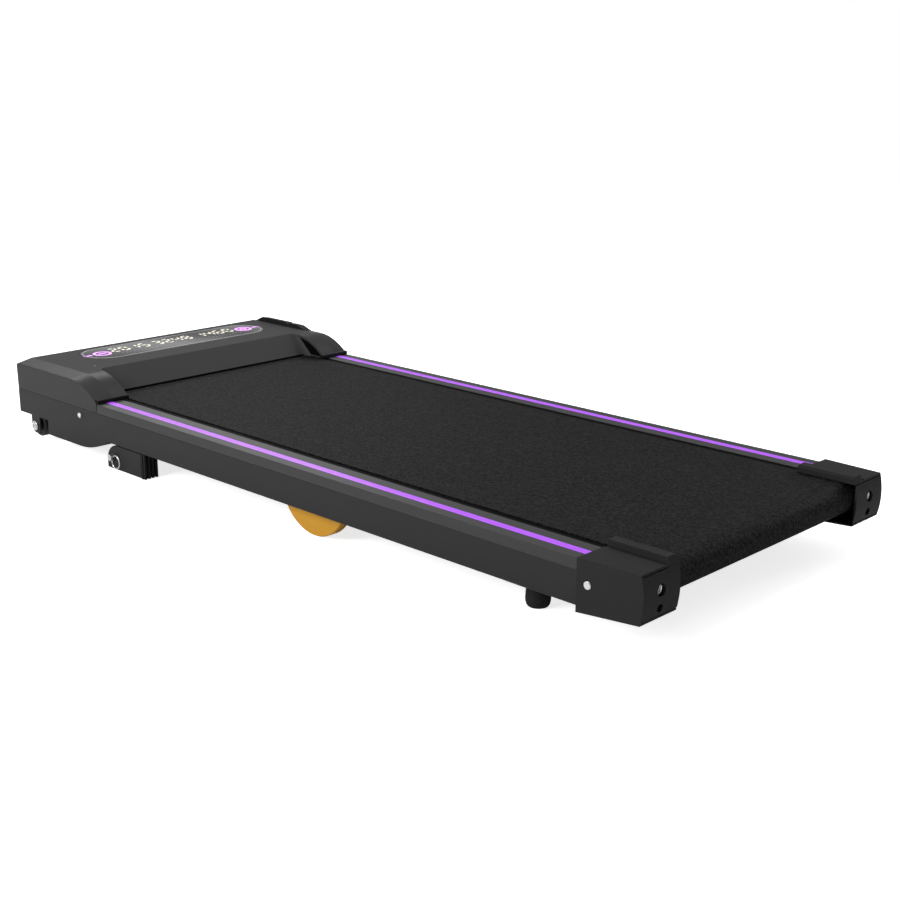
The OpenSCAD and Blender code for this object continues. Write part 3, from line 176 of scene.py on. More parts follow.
def new_material(name):
    material = bpy.data.materials.new(name)
    material.use_nodes = True
    tree = material.node_tree
    tree.nodes.clear()
    out = add(tree, "ShaderNodeOutputMaterial")
    place = add(tree, "ShaderNodeTexCoord")
    return material, tree, out, place.outputs["Object"]


# %% [markdown]
# Moulded ABS takes its skin from the mould, which is spark eroded to a fine grain. The grain is
# some tenths of a millimetre, too fine to show at this distance, so it is drawn at 0.9 mm. A
# second, broad pattern stands for the slight unevenness of colour and gloss. It is 35 mm wide on
# most pieces and 90 to 120 mm on the hood, the end caps, the rails and the painted steel. Powder
# coat, rubber, nylon and enamel differ only in colour, gloss, grain size and depth, so all of them
# come from one function. The darkest one is painted shade: it stands for the unlit inside of the
# hood, and it gives the brush at the foot of the sloped face its own black and the shade of its slit.

# %% Moulded and coated surfaces
PLASTIC_IOR = 1.5


def grained(name, dark, light, roughness, spread, grain_mm, height, level,
            metallic=0.0, broad_mm=35.0):
    """Height is the depth of the grain in mm, and level is how strongly the surface mirrors."""
    material, tree, out, place = new_material(name)
    broad = add(tree, "ShaderNodeTexNoise", {"Vector": place, "Scale": 1 / (broad_mm * MM), "Detail": 3.0})
    fine = add(tree, "ShaderNodeTexNoise", {"Vector": place, "Scale": 1 / (grain_mm * MM), "Detail": 2.0,
                                            "Roughness": 0.55})
    tint = add(tree, "ShaderNodeMix", {"Factor": broad.outputs["Fac"], "A": srgb(dark), "B": srgb(light)},
               data_type="RGBA")
    rough = add(tree, "ShaderNodeMapRange", {
        "Value": broad.outputs["Fac"], "From Min": 0.3, "From Max": 0.7,
        "To Min": roughness - spread, "To Max": roughness + spread})
    bump = add(tree, "ShaderNodeBump", {"Height": fine.outputs["Fac"], "Distance": height * MM,
                                        "Strength": 1.0})
    shader = add(tree, "ShaderNodeBsdfPrincipled", {
        "Base Color": tint.outputs[2], "Roughness": rough.outputs[0], "Normal": bump.outputs["Normal"],
        "IOR": PLASTIC_IOR, "Metallic": metallic, "Specular IOR Level": level})
    tree.links.new(shader.outputs[0], out.inputs["Surface"])
    return material


hood_abs = grained("hood_abs_spark_grain", "#3b3b3c", "#3d3d3e", 0.26, 0.008, 0.9, 0.004, 0.022,
                   broad_mm=120.0)
cap_abs = grained("cap_abs_spark_grain", "#2a2a2b", "#2c2c2d", 0.46, 0.02, 0.9, 0.02, 0.04,
                  broad_mm=90.0)
pan_abs = grained("pan_abs_moulded", "#151516", "#1b1b1c", 0.52, 0.05, 1.2, 0.03, 0.25)
steel_paint = grained("steel_black_powder_coat", "#1d1d1e", "#1f1f20", 0.50, 0.02, 1.1, 0.02, 0.25,
                      broad_mm=120.0)
rail_coat = grained("aluminium_dark_satin_coat", "#323233", "#353536", 0.46, 0.02, 0.8, 0.012, 0.22,
                    broad_mm=120.0)
rubber = grained("rubber_moulded_black", "#121213", "#171718", 0.68, 0.06, 1.0, 0.05, 0.25)
wheel_rubber = grained("wheel_polyurethane_moulded", "#161617", "#1b1b1c", 0.48, 0.05, 1.0, 0.03, 0.35)
strip_abs = grained("shoulder_strip_abs_matt", "#0d0d0e", "#121213", 0.6, 0.05, 0.9, 0.04, 0.15)
device_abs = grained("inlet_nylon_half_gloss", "#101011", "#161617", 0.35, 0.04, 1.0, 0.02, 0.4)
amber_abs = grained("bumper_abs_amber", "#b88624", "#c18d29", 0.45, 0.05, 1.0, 0.03, 0.25)
shadow_black = grained("painted_shade_black_matt", "#060606", "#0a0a0a", 0.8, 0.03, 1.0, 0.03, 0.02)
board_mask = grained("circuit_board_green_mask", "#1d5a35", "#246a40", 0.4, 0.05, 3.0, 0.02, 0.5)
deck_film = grained("deck_phenolic_film_black", "#080808", "#0c0c0c", 0.6, 0.05, 2.0, 0.02, 0.03)
pulley_nylon = grained("pulley_glass_filled_nylon", "#19191a", "#202021", 0.5, 0.05, 1.0, 0.03, 0.4)
motor_paint = grained("motor_black_enamel", "#131314", "#191919", 0.35, 0.05, 6.0, 0.02, 0.5)
print("materials so far:", len(bpy.data.materials))

# %% [markdown]
# Screws, pins and rings are zinc plated: a bright metal with a slightly milky gloss. The rollers
# and their axles are turned steel, which is darker. Both have a fine grain too, so the same
# function makes them, with its metallic value at 1.

# %% Metals
zinc_steel = grained("screw_zinc_plated_steel", "#dcdcda", "#ebebe8", 0.32, 0.06, 0.8, 0.01, 0.5,
                     metallic=1.0)
turned_steel = grained("roller_turned_steel", "#8b8d90", "#9b9da0", 0.32, 0.06, 1.0, 0.01, 0.5,
                       metallic=1.0)
print("metals:", zinc_steel.name, turned_steel.name)

# %% [markdown]
# The lilac inlay is a dyed acrylic strip, pushed into a groove of the foot rail. It looks lit,
# because acrylic carries light along inside, so it gets a little light of its own. Its colour
# drifts slightly, in clouds about 17 mm wide, which is 60 to the metre.

# %% Lilac inlay
ACRYLIC_IOR = 1.49
INLAY_CLOUDS, INLAY_GLOW = 60.0, 0.15


def inlay_acrylic():
    material, tree, out, place = new_material("inlay_acrylic_lilac")
    cloud = add(tree, "ShaderNodeTexNoise", {"Vector": place, "Scale": INLAY_CLOUDS, "Detail": 2.0})
    tint = add(tree, "ShaderNodeMix", {"Factor": cloud.outputs["Fac"], "A": srgb("#ac50ee"),
                                       "B": srgb("#b85cf8")}, data_type="RGBA")
    shader = add(tree, "ShaderNodeBsdfPrincipled", {
        "Base Color": tint.outputs[2], "Roughness": 0.3, "IOR": ACRYLIC_IOR, "Specular IOR Level": 0.4,
        "Emission Color": tint.outputs[2], "Emission Strength": INLAY_GLOW})
    tree.links.new(shader.outputs[0], out.inputs["Surface"])
    return material


inlay = inlay_acrylic()
print("inlay:", inlay.name)

# %% [markdown]
# A walking belt is a woven polyester band with a PVC cover on the outside. The cover is embossed
# with fine pebbles, each about 2 mm wide, so that shoes grip. Cells of that size give the pebbles,
# and a second, coarser noise makes them uneven. Each cell also has its own shade of black, which
# reads as grit. The picture has between half a pixel and one pixel for a millimetre, so bump and
# shade are enough. The back is a plain weave with a thread every 2 mm, coarser than a real one. A
# wave texture repeats every 0.314 m at scale 1, and that over the thread's spacing is its scale.

# %% Walking belt cover and its woven back
PEBBLE, SPECK, PEBBLE_DEEP = 2.2 * MM, 4.5 * MM, 0.35 * MM
THREAD, THREAD_DEEP = 1.9792 * MM, 0.2 * MM
WAVE_PERIOD = math.pi / 10


def belt_cover():
    material, tree, out, place = new_material("belt_pvc_pebbled")
    pebble = add(tree, "ShaderNodeTexVoronoi", {"Vector": place, "Scale": 1 / PEBBLE, "Randomness": 1.0})
    grit = add(tree, "ShaderNodeSeparateColor", {"Color": pebble.outputs["Color"]})
    speck = add(tree, "ShaderNodeTexNoise", {"Vector": place, "Scale": 1 / SPECK, "Detail": 4.0,
                                             "Roughness": 0.65})
    height = add(tree, "ShaderNodeMath", {0: pebble.outputs["Distance"], 1: speck.outputs["Fac"]},
                 operation="ADD")
    bump = add(tree, "ShaderNodeBump", {"Height": height.outputs[0], "Distance": PEBBLE_DEEP,
                                        "Strength": 1.0})
    share = add(tree, "ShaderNodeMath", {0: grit.outputs[0], 1: speck.outputs["Fac"]}, operation="MULTIPLY")
    tint = add(tree, "ShaderNodeMix", {"Factor": share.outputs[0], "A": srgb("#050505"),
                                       "B": srgb("#353536")}, data_type="RGBA")
    shader = add(tree, "ShaderNodeBsdfPrincipled", {
        "Base Color": tint.outputs[2], "Roughness": 0.6, "IOR": PLASTIC_IOR, "Specular IOR Level": 0.04,
        "Normal": bump.outputs["Normal"]})
    tree.links.new(shader.outputs[0], out.inputs["Surface"])
    return material


def belt_back():
    material, tree, out, place = new_material("belt_polyester_weave")
    scale = WAVE_PERIOD / THREAD
    warp = add(tree, "ShaderNodeTexWave", {"Vector": place, "Scale": scale}, bands_direction="X")
    weft = add(tree, "ShaderNodeTexWave", {"Vector": place, "Scale": scale}, bands_direction="Y")
    cross = add(tree, "ShaderNodeMath", {0: warp.outputs["Fac"], 1: weft.outputs["Fac"]},
                operation="MULTIPLY")
    bump = add(tree, "ShaderNodeBump", {"Height": cross.outputs[0], "Distance": THREAD_DEEP,
                                        "Strength": 1.0})
    tint = add(tree, "ShaderNodeMix", {"Factor": cross.outputs[0], "A": srgb("#26262a"),
                                       "B": srgb("#3a3a3f")}, data_type="RGBA")
    shader = add(tree, "ShaderNodeBsdfPrincipled", {"Base Color": tint.outputs[2], "Roughness": 0.8,
                                                    "Normal": bump.outputs["Normal"]})
    tree.links.new(shader.outputs[0], out.inputs["Surface"])
    return material


belt_pvc, belt_weave = belt_cover(), belt_back()
print("belt:", belt_pvc.name, belt_weave.name)

# %% [markdown]
# The display lens is polished smoked acrylic. On the real machine it shows a middle grey with slow
# diagonal streaks, which is a room mirrored in it. A plain studio has nothing to mirror there, so that
# grey and the streaks are painted reflection in its colour, a wave about 19 cm from one to the next,
# and its gloss drifts in clouds 7 cm wide. The digits and the key symbols glow through it. They are
# plain generic marks: digits, rows of fine level marks, a minus and a plus. The border is printed on
# the lens, and the black edging is painted shade for the gap round it. Neither glows, so the same
# function makes them with no glow.

# %% Display finishes
LENS_CLOUDS, LENS_REFLECTION_STREAKS, GLOW_CLOUDS = 14.0, 2.4, 90.0


def lens_smoked():
    material, tree, out, place = new_material("lens_smoked_acrylic_painted_reflection")
    cloud = add(tree, "ShaderNodeTexNoise", {"Vector": place, "Scale": LENS_CLOUDS, "Detail": 2.0})
    # The diagonal wave in the lens colour is painted reflection.
    reflection_streak = add(tree, "ShaderNodeTexWave", {"Vector": place, "Scale": LENS_REFLECTION_STREAKS, "Distortion": 1.5,
                                             "Detail": 1.0}, bands_direction="DIAGONAL")
    tint = add(tree, "ShaderNodeMix", {"Factor": reflection_streak.outputs["Fac"], "A": srgb("#3c3c3e"),
                                       "B": srgb("#868688")}, data_type="RGBA")
    rough = add(tree, "ShaderNodeMapRange", {"Value": cloud.outputs["Fac"], "To Min": 0.1, "To Max": 0.2})
    shader = add(tree, "ShaderNodeBsdfPrincipled", {
        "Base Color": tint.outputs[2], "Roughness": rough.outputs[0], "IOR": ACRYLIC_IOR})
    tree.links.new(shader.outputs[0], out.inputs["Surface"])
    return material


def glowing(name, dim, bright, strength):
    material, tree, out, place = new_material(name)
    cloud = add(tree, "ShaderNodeTexNoise", {"Vector": place, "Scale": GLOW_CLOUDS, "Detail": 2.0})
    tint = add(tree, "ShaderNodeMix", {"Factor": cloud.outputs["Fac"], "A": srgb(dim), "B": srgb(bright)},
               data_type="RGBA")
    shader = add(tree, "ShaderNodeBsdfPrincipled", {
        "Base Color": tint.outputs[2], "Roughness": 0.4, "Emission Color": tint.outputs[2],
        "Emission Strength": strength})
    tree.links.new(shader.outputs[0], out.inputs["Surface"])
    return material


lens_acrylic = lens_smoked()
digit_light = glowing("digits_warm_light", "#ddd8c4", "#f0ebd8", 0.6)
key_light = glowing("key_symbols_lilac_light", "#d888f4", "#eca4ff", 0.7)
border_paint = glowing("lens_border_grey_print", "#a4a4a6", "#b2b2b4", 0.0)
# The black edging is painted shade for the gap round the lens.
edge_shade_paint = glowing("lens_edge_painted_shade", "#0a0a0a", "#111112", 0.0)
print("materials so far:", len(bpy.data.materials))

# %% [markdown]
# Each solid is of one material. A table that pairs a finish with its solids is easy to read and
# to change, and the last line shows whether one was forgotten.

# %% Give each solid its finish
FINISH = (
    (steel_paint, "cross_tubes left_roller_bracket right_roller_bracket motor_saddles wheel_forks "
                  "left_leg_bracket right_leg_bracket left_leg right_leg left_side_member "
                  "right_side_member"),
    (motor_paint, "drive_motor"),
    (deck_film, "deck_board"),
    (rubber, "deck_cushions left_leg_tip right_leg_tip left_rear_foot right_rear_foot drive_belt"),
    (belt_pvc, "running_belt"),
    (rail_coat, "left_foot_rail right_foot_rail"),
    (inlay, "left_light_strip right_light_strip"),
    (cap_abs, "left_end_cap right_end_cap"),
    (pan_abs, "base_pan"),
    (hood_abs, "motor_hood"),
    (strip_abs, "shoulder_strip"),
    (device_abs, "power_inlet switch_housing switch_rocker receiver_window"),
    (turned_steel, "rear_roller front_roller rear_axle front_axle rear_bearings front_bearings "
                   "motor_pulley"),
    (pulley_nylon, "roller_pulley"),
    (zinc_steel, "tension_bolts wheel_bolts leg_pivots left_lock_pin right_lock_pin left_pull_ring "
                 "right_pull_ring foot_studs side_screws cap_screws"),
    (board_mask, "motor_controller display_board"),
    (lens_acrylic, "display_lens"),
    (wheel_rubber, "left_wheel right_wheel"),
    (amber_abs, "left_bumper right_bumper"),
)
for material, names in FINISH:
    for node in names.split():
        give(NODES[node], material)
dressed = [node for material, names in FINISH for node in names.split()]
print("solids without a finish:", [node for node in NODES if node not in dressed])

# %% [markdown]
# Moulded plastic and pressed steel have no knife edges: each edge carries a small radius, and
# that radius is what catches the light. A solid's copy is merged and its flat faces are joined
# again, and then its sharp edges get a bevel. A bevel needs room: it eats into the faces on both
# sides, so an edge beside a narrow face keeps its own form. That room is measured first. The hood
# and the end caps are smoothed only over turns under 7.5 degrees, so their flat faces stay flat.

# %% Room beside an edge
ALONG_EDGE = (0.08, 0.5, 0.92)
NO_LIMIT, NO_DEPTH = 1.0, 1e-7


def room_beside(edge, loop):
    """How far the loop's face goes on from the edge, square to it, at three places."""
    start, end = loop.vert.co, loop.link_loop_next.vert.co
    along = (end - start).normalized()
    inward = loop.face.normal.cross(along)
    room = NO_LIMIT
    for share in ALONG_EDGE:
        here = start.lerp(end, share)
        for other in loop.face.edges:
            if other == edge:
                continue
            a, b = (vert.co - here for vert in other.verts)
            a_along, b_along = a.dot(along), b.dot(along)
            if (a_along <= 0) == (b_along <= 0):
                continue
            part = a_along / (a_along - b_along)
            depth = a.dot(inward) * (1 - part) + b.dot(inward) * part
            if depth > NO_DEPTH:
                room = min(room, depth)
    return room


# %% A copy of a solid with eased edges
MERGE, FLAT, SHARP = 0.02 * MM, 0.5, 28.0
EASE_STEPS, SPARE = 2, 2.3


def eased_copy(node, radius, even_to):
    source = NODES[node]
    clear_selection()
    piece = source.copy()
    piece.data = source.data.copy()
    piece.name = node + "_eased"
    piece.parent = None
    bpy.context.scene.collection.objects.link(piece)
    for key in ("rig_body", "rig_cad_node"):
        if key in piece:
            del piece[key]
    make_active(piece)
    bpy.ops.object.mode_set(mode="EDIT")
    bpy.ops.mesh.select_all(action="SELECT")
    bpy.ops.mesh.remove_doubles(threshold=MERGE)
    bpy.ops.mesh.dissolve_limited(angle_limit=math.radians(FLAT))
    bpy.ops.mesh.customdata_custom_splitnormals_clear()
    bpy.ops.object.mode_set(mode="OBJECT")
    mesh = bmesh.new()
    mesh.from_mesh(piece.data)
    weight = mesh.edges.layers.float.new("bevel_weight_edge")
    eased = 0
    for edge in mesh.edges:
        if len(edge.link_loops) == 2 and math.degrees(edge.calc_face_angle(0.0)) > SHARP:
            if min(room_beside(edge, loop) for loop in edge.link_loops) > SPARE * radius * MM:
                edge[weight] = 1.0
                eased += 1
    mesh.to_mesh(piece.data)
    mesh.free()
    bevel = piece.modifiers.new("eased edges", "BEVEL")
    bevel.width = radius * MM
    bevel.segments = EASE_STEPS
    bevel.limit_method = "WEIGHT"
    bevel.use_clamp_overlap = False
    apply_all(piece)
    smooth(piece, even_to)
    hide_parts(node)
    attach(piece, source["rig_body"])
    print(piece.name, "edges eased:", eased, "faces:", len(piece.data.polygons))


# %% Easing radius of each piece, in mm
EASED = {
    "motor_hood": 0.8, "left_end_cap": 0.35, "right_end_cap": 0.35, "base_pan": 1.2,
    "left_side_member": 0.6, "right_side_member": 0.6, "left_foot_rail": 0.6, "right_foot_rail": 0.6,
    "left_light_strip": 0.4, "right_light_strip": 0.4, "left_leg": 0.8, "right_leg": 0.8,
    "left_leg_tip": 0.8, "right_leg_tip": 0.8, "left_bumper": 0.8, "right_bumper": 0.8,
    "left_wheel": 0.4, "right_wheel": 0.4, "left_rear_foot": 0.5, "right_rear_foot": 0.5,
    "shoulder_strip": 0.8, "power_inlet": 0.5, "switch_housing": 0.5, "switch_rocker": 0.5,
    "side_screws": 0.25, "cap_screws": 0.25, "tension_bolts": 0.4, "wheel_bolts": 0.4,
    "left_leg_bracket": 0.5, "right_leg_bracket": 0.5, "left_lock_pin": 0.25, "right_lock_pin": 0.25,
    "drive_motor": 0.6, "deck_board": 0.8,
}
CRISP = {"motor_hood": 7.5, "left_end_cap": 7.5, "right_end_cap": 7.5}
for node, radius in EASED.items():
    eased_copy(node, radius, CRISP.get(node, SMOOTH_TO))

# %% [markdown]
# The belt is one closed loop round both rollers. A circle at the rear roller, pulled apart to the
# front roller and drawn out sideways, is that loop. It is turned by half of one of its sides, so
# that a side and no corner lies at the top and the circle parts evenly. Solidify gives it its
# thickness inwards, with the woven back as the second material.

# %% Running belt
BELT_LOW, BELT_HIGH = (Vector(corner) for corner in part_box("running_belt"))
BELT_THICK = 1.7 * MM
LOOP_SIDES = 96
HALF_SIDE = math.radians(180 / LOOP_SIDES)
loop_r = (BELT_HIGH.z - BELT_LOW.z) / 2
axle_z = (BELT_HIGH.z + BELT_LOW.z) / 2
rear_y, front_y = BELT_LOW.y + loop_r, BELT_HIGH.y - loop_r
clear_selection()
bpy.ops.mesh.primitive_circle_add(vertices=LOOP_SIDES, radius=loop_r,
                                  location=(BELT_LOW.x, rear_y, axle_z),
                                  rotation=(0, math.radians(90), 0))
belt = bpy.context.object
belt.name = "running_belt_loop"
belt.data.transform(Matrix.Rotation(HALF_SIDE, 4, "Z"))
settle(belt)
bpy.ops.object.mode_set(mode="EDIT")
bpy.ops.mesh.select_all(action="DESELECT")
bpy.ops.object.mode_set(mode="OBJECT")
for vert in belt.data.vertices:
    vert.select = vert.co.y > rear_y
bpy.ops.object.mode_set(mode="EDIT")
bpy.ops.transform.translate(value=(0, front_y - rear_y, 0))
bpy.ops.mesh.select_all(action="SELECT")
bpy.ops.mesh.extrude_edges_move(TRANSFORM_OT_translate={"value": (BELT_HIGH.x - BELT_LOW.x, 0, 0)})
bpy.ops.mesh.select_all(action="SELECT")
bpy.ops.mesh.normals_make_consistent(inside=False)
bpy.ops.object.mode_set(mode="OBJECT")
middle = Vector((0, (rear_y + front_y) / 2, axle_z))
if sum((face.center - middle).dot(face.normal) for face in belt.data.polygons) < 0:
    bpy.ops.object.mode_set(mode="EDIT")
    bpy.ops.mesh.flip_normals()
    bpy.ops.object.mode_set(mode="OBJECT")
give(belt, belt_pvc, belt_weave)
wall = belt.modifiers.new("belt thickness", "SOLIDIFY")
wall.thickness = BELT_THICK
wall.offset = -1.0
wall.material_offset = 1
apply_all(belt)
smooth(belt, angle=40.0)
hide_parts("running_belt")
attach(belt, NODES["running_belt"]["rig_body"])
print("belt loop in mm:", [round(side / MM, 1) for side in belt.dimensions])

# %% [markdown]
# The lens is a flat bar with round ends. A circle whose one half is pulled along gives the
# outline, an extrusion gives its thickness, and its upper rim is eased, which draws the thin light
# line round a real lens. The same helper makes the printed border.

# %% Bars with round ends
END_SIDES, RIM_STEPS = 96, 3


def round_bar(name, centre, length, width, low, high, ease=0.0, ring=0.0):
    """A bar with its upper rim eased, or only a ring of that width round its edge."""
    reach = centre[0] - (length - width) / 2
    clear_selection()
    bpy.ops.mesh.primitive_circle_add(vertices=END_SIDES, radius=width / 2, fill_type="NGON",
                                      location=(reach, centre[1], low))
    piece = bpy.context.object
    piece.name = name
    settle(piece)
    for vert in piece.data.vertices:
        if vert.co.x > reach:
            vert.co.x += length - width
    if ring:
        bpy.ops.object.mode_set(mode="EDIT")
        bpy.ops.mesh.select_all(action="SELECT")
        bpy.ops.mesh.inset(thickness=ring)
        bpy.ops.mesh.delete(type="FACE")
        bpy.ops.object.mode_set(mode="OBJECT")
    draw_out(piece, (0, 0, high - low))
    if ease:
        mesh = bmesh.new()
        mesh.from_mesh(piece.data)
        weight = mesh.edges.layers.float.new("bevel_weight_edge")
        for edge in mesh.edges:
            if all(vert.co.z > high - NEAR for vert in edge.verts):
                edge[weight] = 1.0
        mesh.to_mesh(piece.data)
        mesh.free()
        bevel = piece.modifiers.new("eased rim", "BEVEL")
        bevel.width = ease
        bevel.segments = RIM_STEPS
        bevel.limit_method = "WEIGHT"
        apply_all(piece)
    smooth(piece)
    return piece


# %% Display lens and its printed border
LENS_LOW, LENS_HIGH = (Vector(corner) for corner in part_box("display_lens"))
LENS = (LENS_LOW + LENS_HIGH) / 2
lens_l, lens_w = LENS_HIGH.x - LENS_LOW.x, LENS_HIGH.y - LENS_LOW.y
lens = round_bar("display_lens_plate", LENS, lens_l, lens_w, LENS_LOW.z, LENS_HIGH.z, ease=0.35 * MM)
give(lens, lens_acrylic)
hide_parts("display_lens")
PRINT = 0.06 * MM
print_z = (LENS_HIGH.z, LENS_HIGH.z + PRINT)
BORDER_IN, EDGING_IN = 7 * MM, 0.8 * MM
border = round_bar("display_lens_border", LENS, lens_l - BORDER_IN, lens_w - BORDER_IN, *print_z,
                   ring=1.2 * MM)
# The black edging ring is painted shade for the gap round the lens.
edging = round_bar("display_lens_edge_shade", LENS, lens_l - EDGING_IN, lens_w - EDGING_IN, *print_z,
                   ring=2.6 * MM)
give(border, border_paint)
give(edging, edge_shade_paint)
HOOD_BODY = NODES["motor_hood"]["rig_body"]
for piece in (lens, border, edging):
    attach(piece, HOOD_BODY)
print("lens in mm:", round(lens_l / MM, 1), "x", round(lens_w / MM, 1))

# %% [markdown]
# Digits of such displays have seven bars. Their ends are too small to show at this distance, so
# the bars are plain, a plane extruded to the thickness of a print. One bar is modelled, and each
# lit bar is a copy of it, turned and moved in its mesh. They are joined into one piece at the end.
# Below the digits runs a row of marks, each only a hair wide.

# %% One bar of a digit
HAIR = 0.02 * MM


def flat_bar(length, width):
    """A thin bar at the origin, with its length along X."""
    clear_selection()
    bpy.ops.mesh.primitive_plane_add(size=1)
    bar = bpy.context.object
    bar.scale = (length, width, 1)
    settle(bar)
    draw_out(bar, (0, 0, PRINT))
    return bar


def copies_joined(name, model, places, material):
    """Joins copies of a model, each at (x, y, turn in degrees) on the lens."""
    made = []
    for x, y, turn in places:
        piece = model.copy()
        piece.data = model.data.copy()
        piece.data.transform(Matrix.Translation((LENS.x + x, LENS.y + y, LENS_HIGH.z))
                             @ Matrix.Rotation(math.radians(turn), 4, "Z"))
        bpy.context.scene.collection.objects.link(piece)
        made.append(piece)
    clear_selection()
    for piece in made:
        piece.select_set(True)
    bpy.context.view_layer.objects.active = made[0]
    bpy.ops.object.join()
    made[0].name = name
    bpy.data.objects.remove(model)
    give(made[0], material)
    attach(made[0], HOOD_BODY)
    print(name, "bars:", len(places))


# %% Digits
DIGIT_W, DIGIT_H, DIGIT_STEP = 11.5 * MM, 24 * MM, 19 * MM
DIGITS_Y, DOTS_Y, LEVELS_Y, LEVEL_STEP = 9 * MM, -2 * MM, -18 * MM, 7 * MM
half_w, quarter_h = DIGIT_W / 2, DIGIT_H / 4
BARS = {"a": (0, 2 * quarter_h, 0), "b": (half_w, quarter_h, 90), "c": (half_w, -quarter_h, 90),
        "d": (0, -2 * quarter_h, 0), "e": (-half_w, -quarter_h, 90), "f": (-half_w, quarter_h, 90),
        "g": (0, 0, 0)}
LIT = {"0": "abcdef", "1": "bc", "2": "abged", "3": "abgcd", "4": "fgbc", "5": "afgcd",
       "6": "afgedc", "8": "abcdefg"}
GROUP_X = 84 * MM
GROUPS = ((-GROUP_X, "2015"), (0, "3248"), (GROUP_X, "1460"))
places, levels = [], []
for at, digits in GROUPS:
    for i, digit in enumerate(digits):
        x = at + (i - (len(digits) - 1) / 2) * DIGIT_STEP
        places += [(x + BARS[bar][0], DIGITS_Y + BARS[bar][1], BARS[bar][2]) for bar in LIT[digit]]
    levels += [(at + step * LEVEL_STEP, LEVELS_Y, 0) for step in range(-4, 6)]
dots = [(-GROUP_X, DIGITS_Y - quarter_h, 0), (-GROUP_X, DIGITS_Y + quarter_h, 0),
        (0, DOTS_Y, 0), (GROUP_X, DOTS_Y, 0)]
copies_joined("display_digits", flat_bar(7.5 * MM, 3 * MM), places, digit_light)
copies_joined("display_dots", flat_bar(0.4 * MM, 3 * MM), dots, digit_light)
copies_joined("display_level_bars", flat_bar(HAIR, 4.6 * MM), levels, digit_light)

# %% [markdown]
# Near each end of the lens lies a touch field that glows lilac: a ring with a minus and a ring
# with a plus, and beyond each ring a short bar that crosses the border. The bar of the digits
# serves for them too, longer and wider, and the rings come from the helper of the border.

# %% Minus and plus keys
KEY_X, END_BAR, KEY_RING = lens_l / 2 - 33 * MM, 26 * MM, 30 * MM
NUDGE = 0.01 * MM
key_bars = [(-KEY_X, 0, 0), (KEY_X, 0, 0), (KEY_X, NUDGE, 90), (-KEY_X - END_BAR, 0, 0),
            (KEY_X + END_BAR, 0, 0)]
copies_joined("display_key_symbols", flat_bar(15 * MM, 5 * MM), key_bars, key_light)
for side, name in ((-1, "display_minus_ring"), (1, "display_plus_ring")):
    centre = LENS + Vector((side * KEY_X, 0, 0))
    ring = round_bar(name, centre, KEY_RING, KEY_RING, *print_z, ring=4.5 * MM)
    give(ring, key_light)
    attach(ring, HOOD_BODY)

# %% [markdown]
# The screws have shallow cross recesses, so from a distance each shows as one bright disc. A thin
# plate with a rounded rim, a little smaller than the head, closes the solid's deep socket.

# %% Faces of the side screws
FACE_THICK, FACE_OUT, FACE_SHARE, FACE_EASE = 0.9 * MM, 0.41 * MM, 0.9, 0.4 * MM


def screw_face(name, place, radius, node):
    clear_selection()
    bpy.ops.mesh.primitive_cylinder_add(vertices=40, radius=radius, depth=FACE_THICK, location=place,
                                        rotation=(0, math.radians(90), 0))
    face = bpy.context.object
    face.name = name
    settle(face)
    bevel = face.modifiers.new("rounded rim", "BEVEL")
    bevel.width = FACE_EASE
    bevel.segments = RIM_STEPS
    bevel.limit_method = "ANGLE"
    bevel.angle_limit = math.radians(60)
    apply_all(face)
    smooth(face)
    give(face, zinc_steel)
    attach(face, NODES[node]["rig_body"])


for node in ("side_screws", "cap_screws"):
    low, high = (Vector(corner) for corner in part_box(node))
    y, z, head_r = (low.y + high.y) / 2, (low.z + high.z) / 2, (high.z - low.z) / 2
    for x, ending in ((low.x + FACE_OUT, "_face_left"), (high.x - FACE_OUT, "_face_right")):
        screw_face(node + ending, (x, y, z), head_r * FACE_SHARE, node)
print("screw faces in mm:", round(2 * head_r * FACE_SHARE / MM, 1))

# %% [markdown]
# The head of each tension bolt shows a bright rolled rim inside its hole in the end cap. A small
# circle, spun once round the bolt's own axis, gives it, and merging the doubles closes the seam.

# %% Rims of the tension bolts
BOLTS_LOW, BOLTS_HIGH = (Vector(corner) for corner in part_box("tension_bolts"))
RIM_R, RIM_IN, RIM_OUT = 1.3 * MM, 1.4 * MM, 0.6 * MM
head_r = (BOLTS_HIGH.z - BOLTS_LOW.z) / 2
for side, name in ((-1, "left_tension_bolt_rim"), (1, "right_tension_bolt_rim")):
    centre = Vector((side * (BOLTS_HIGH.x - head_r), BOLTS_LOW.y - RIM_OUT,
                     (BOLTS_LOW.z + BOLTS_HIGH.z) / 2))
    clear_selection()
    bpy.ops.mesh.primitive_circle_add(vertices=12, radius=RIM_R,
                                      location=centre + Vector((head_r - RIM_IN, 0, 0)))
    rim = bpy.context.object
    rim.name = name
    settle(rim)
    bpy.ops.object.mode_set(mode="EDIT")
    bpy.ops.mesh.select_all(action="SELECT")
    bpy.ops.mesh.spin(steps=48, angle=math.radians(360), center=centre, axis=(0, 1, 0))
    bpy.ops.mesh.select_all(action="SELECT")
    bpy.ops.mesh.remove_doubles(threshold=NEAR)
    bpy.ops.mesh.normals_make_consistent(inside=False)
    bpy.ops.object.mode_set(mode="OBJECT")
    smooth(rim, angle=60.0)
    give(rim, zinc_steel)
    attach(rim, NODES["tension_bolts"]["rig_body"])
    print(name, "faces:", len(rim.data.polygons))
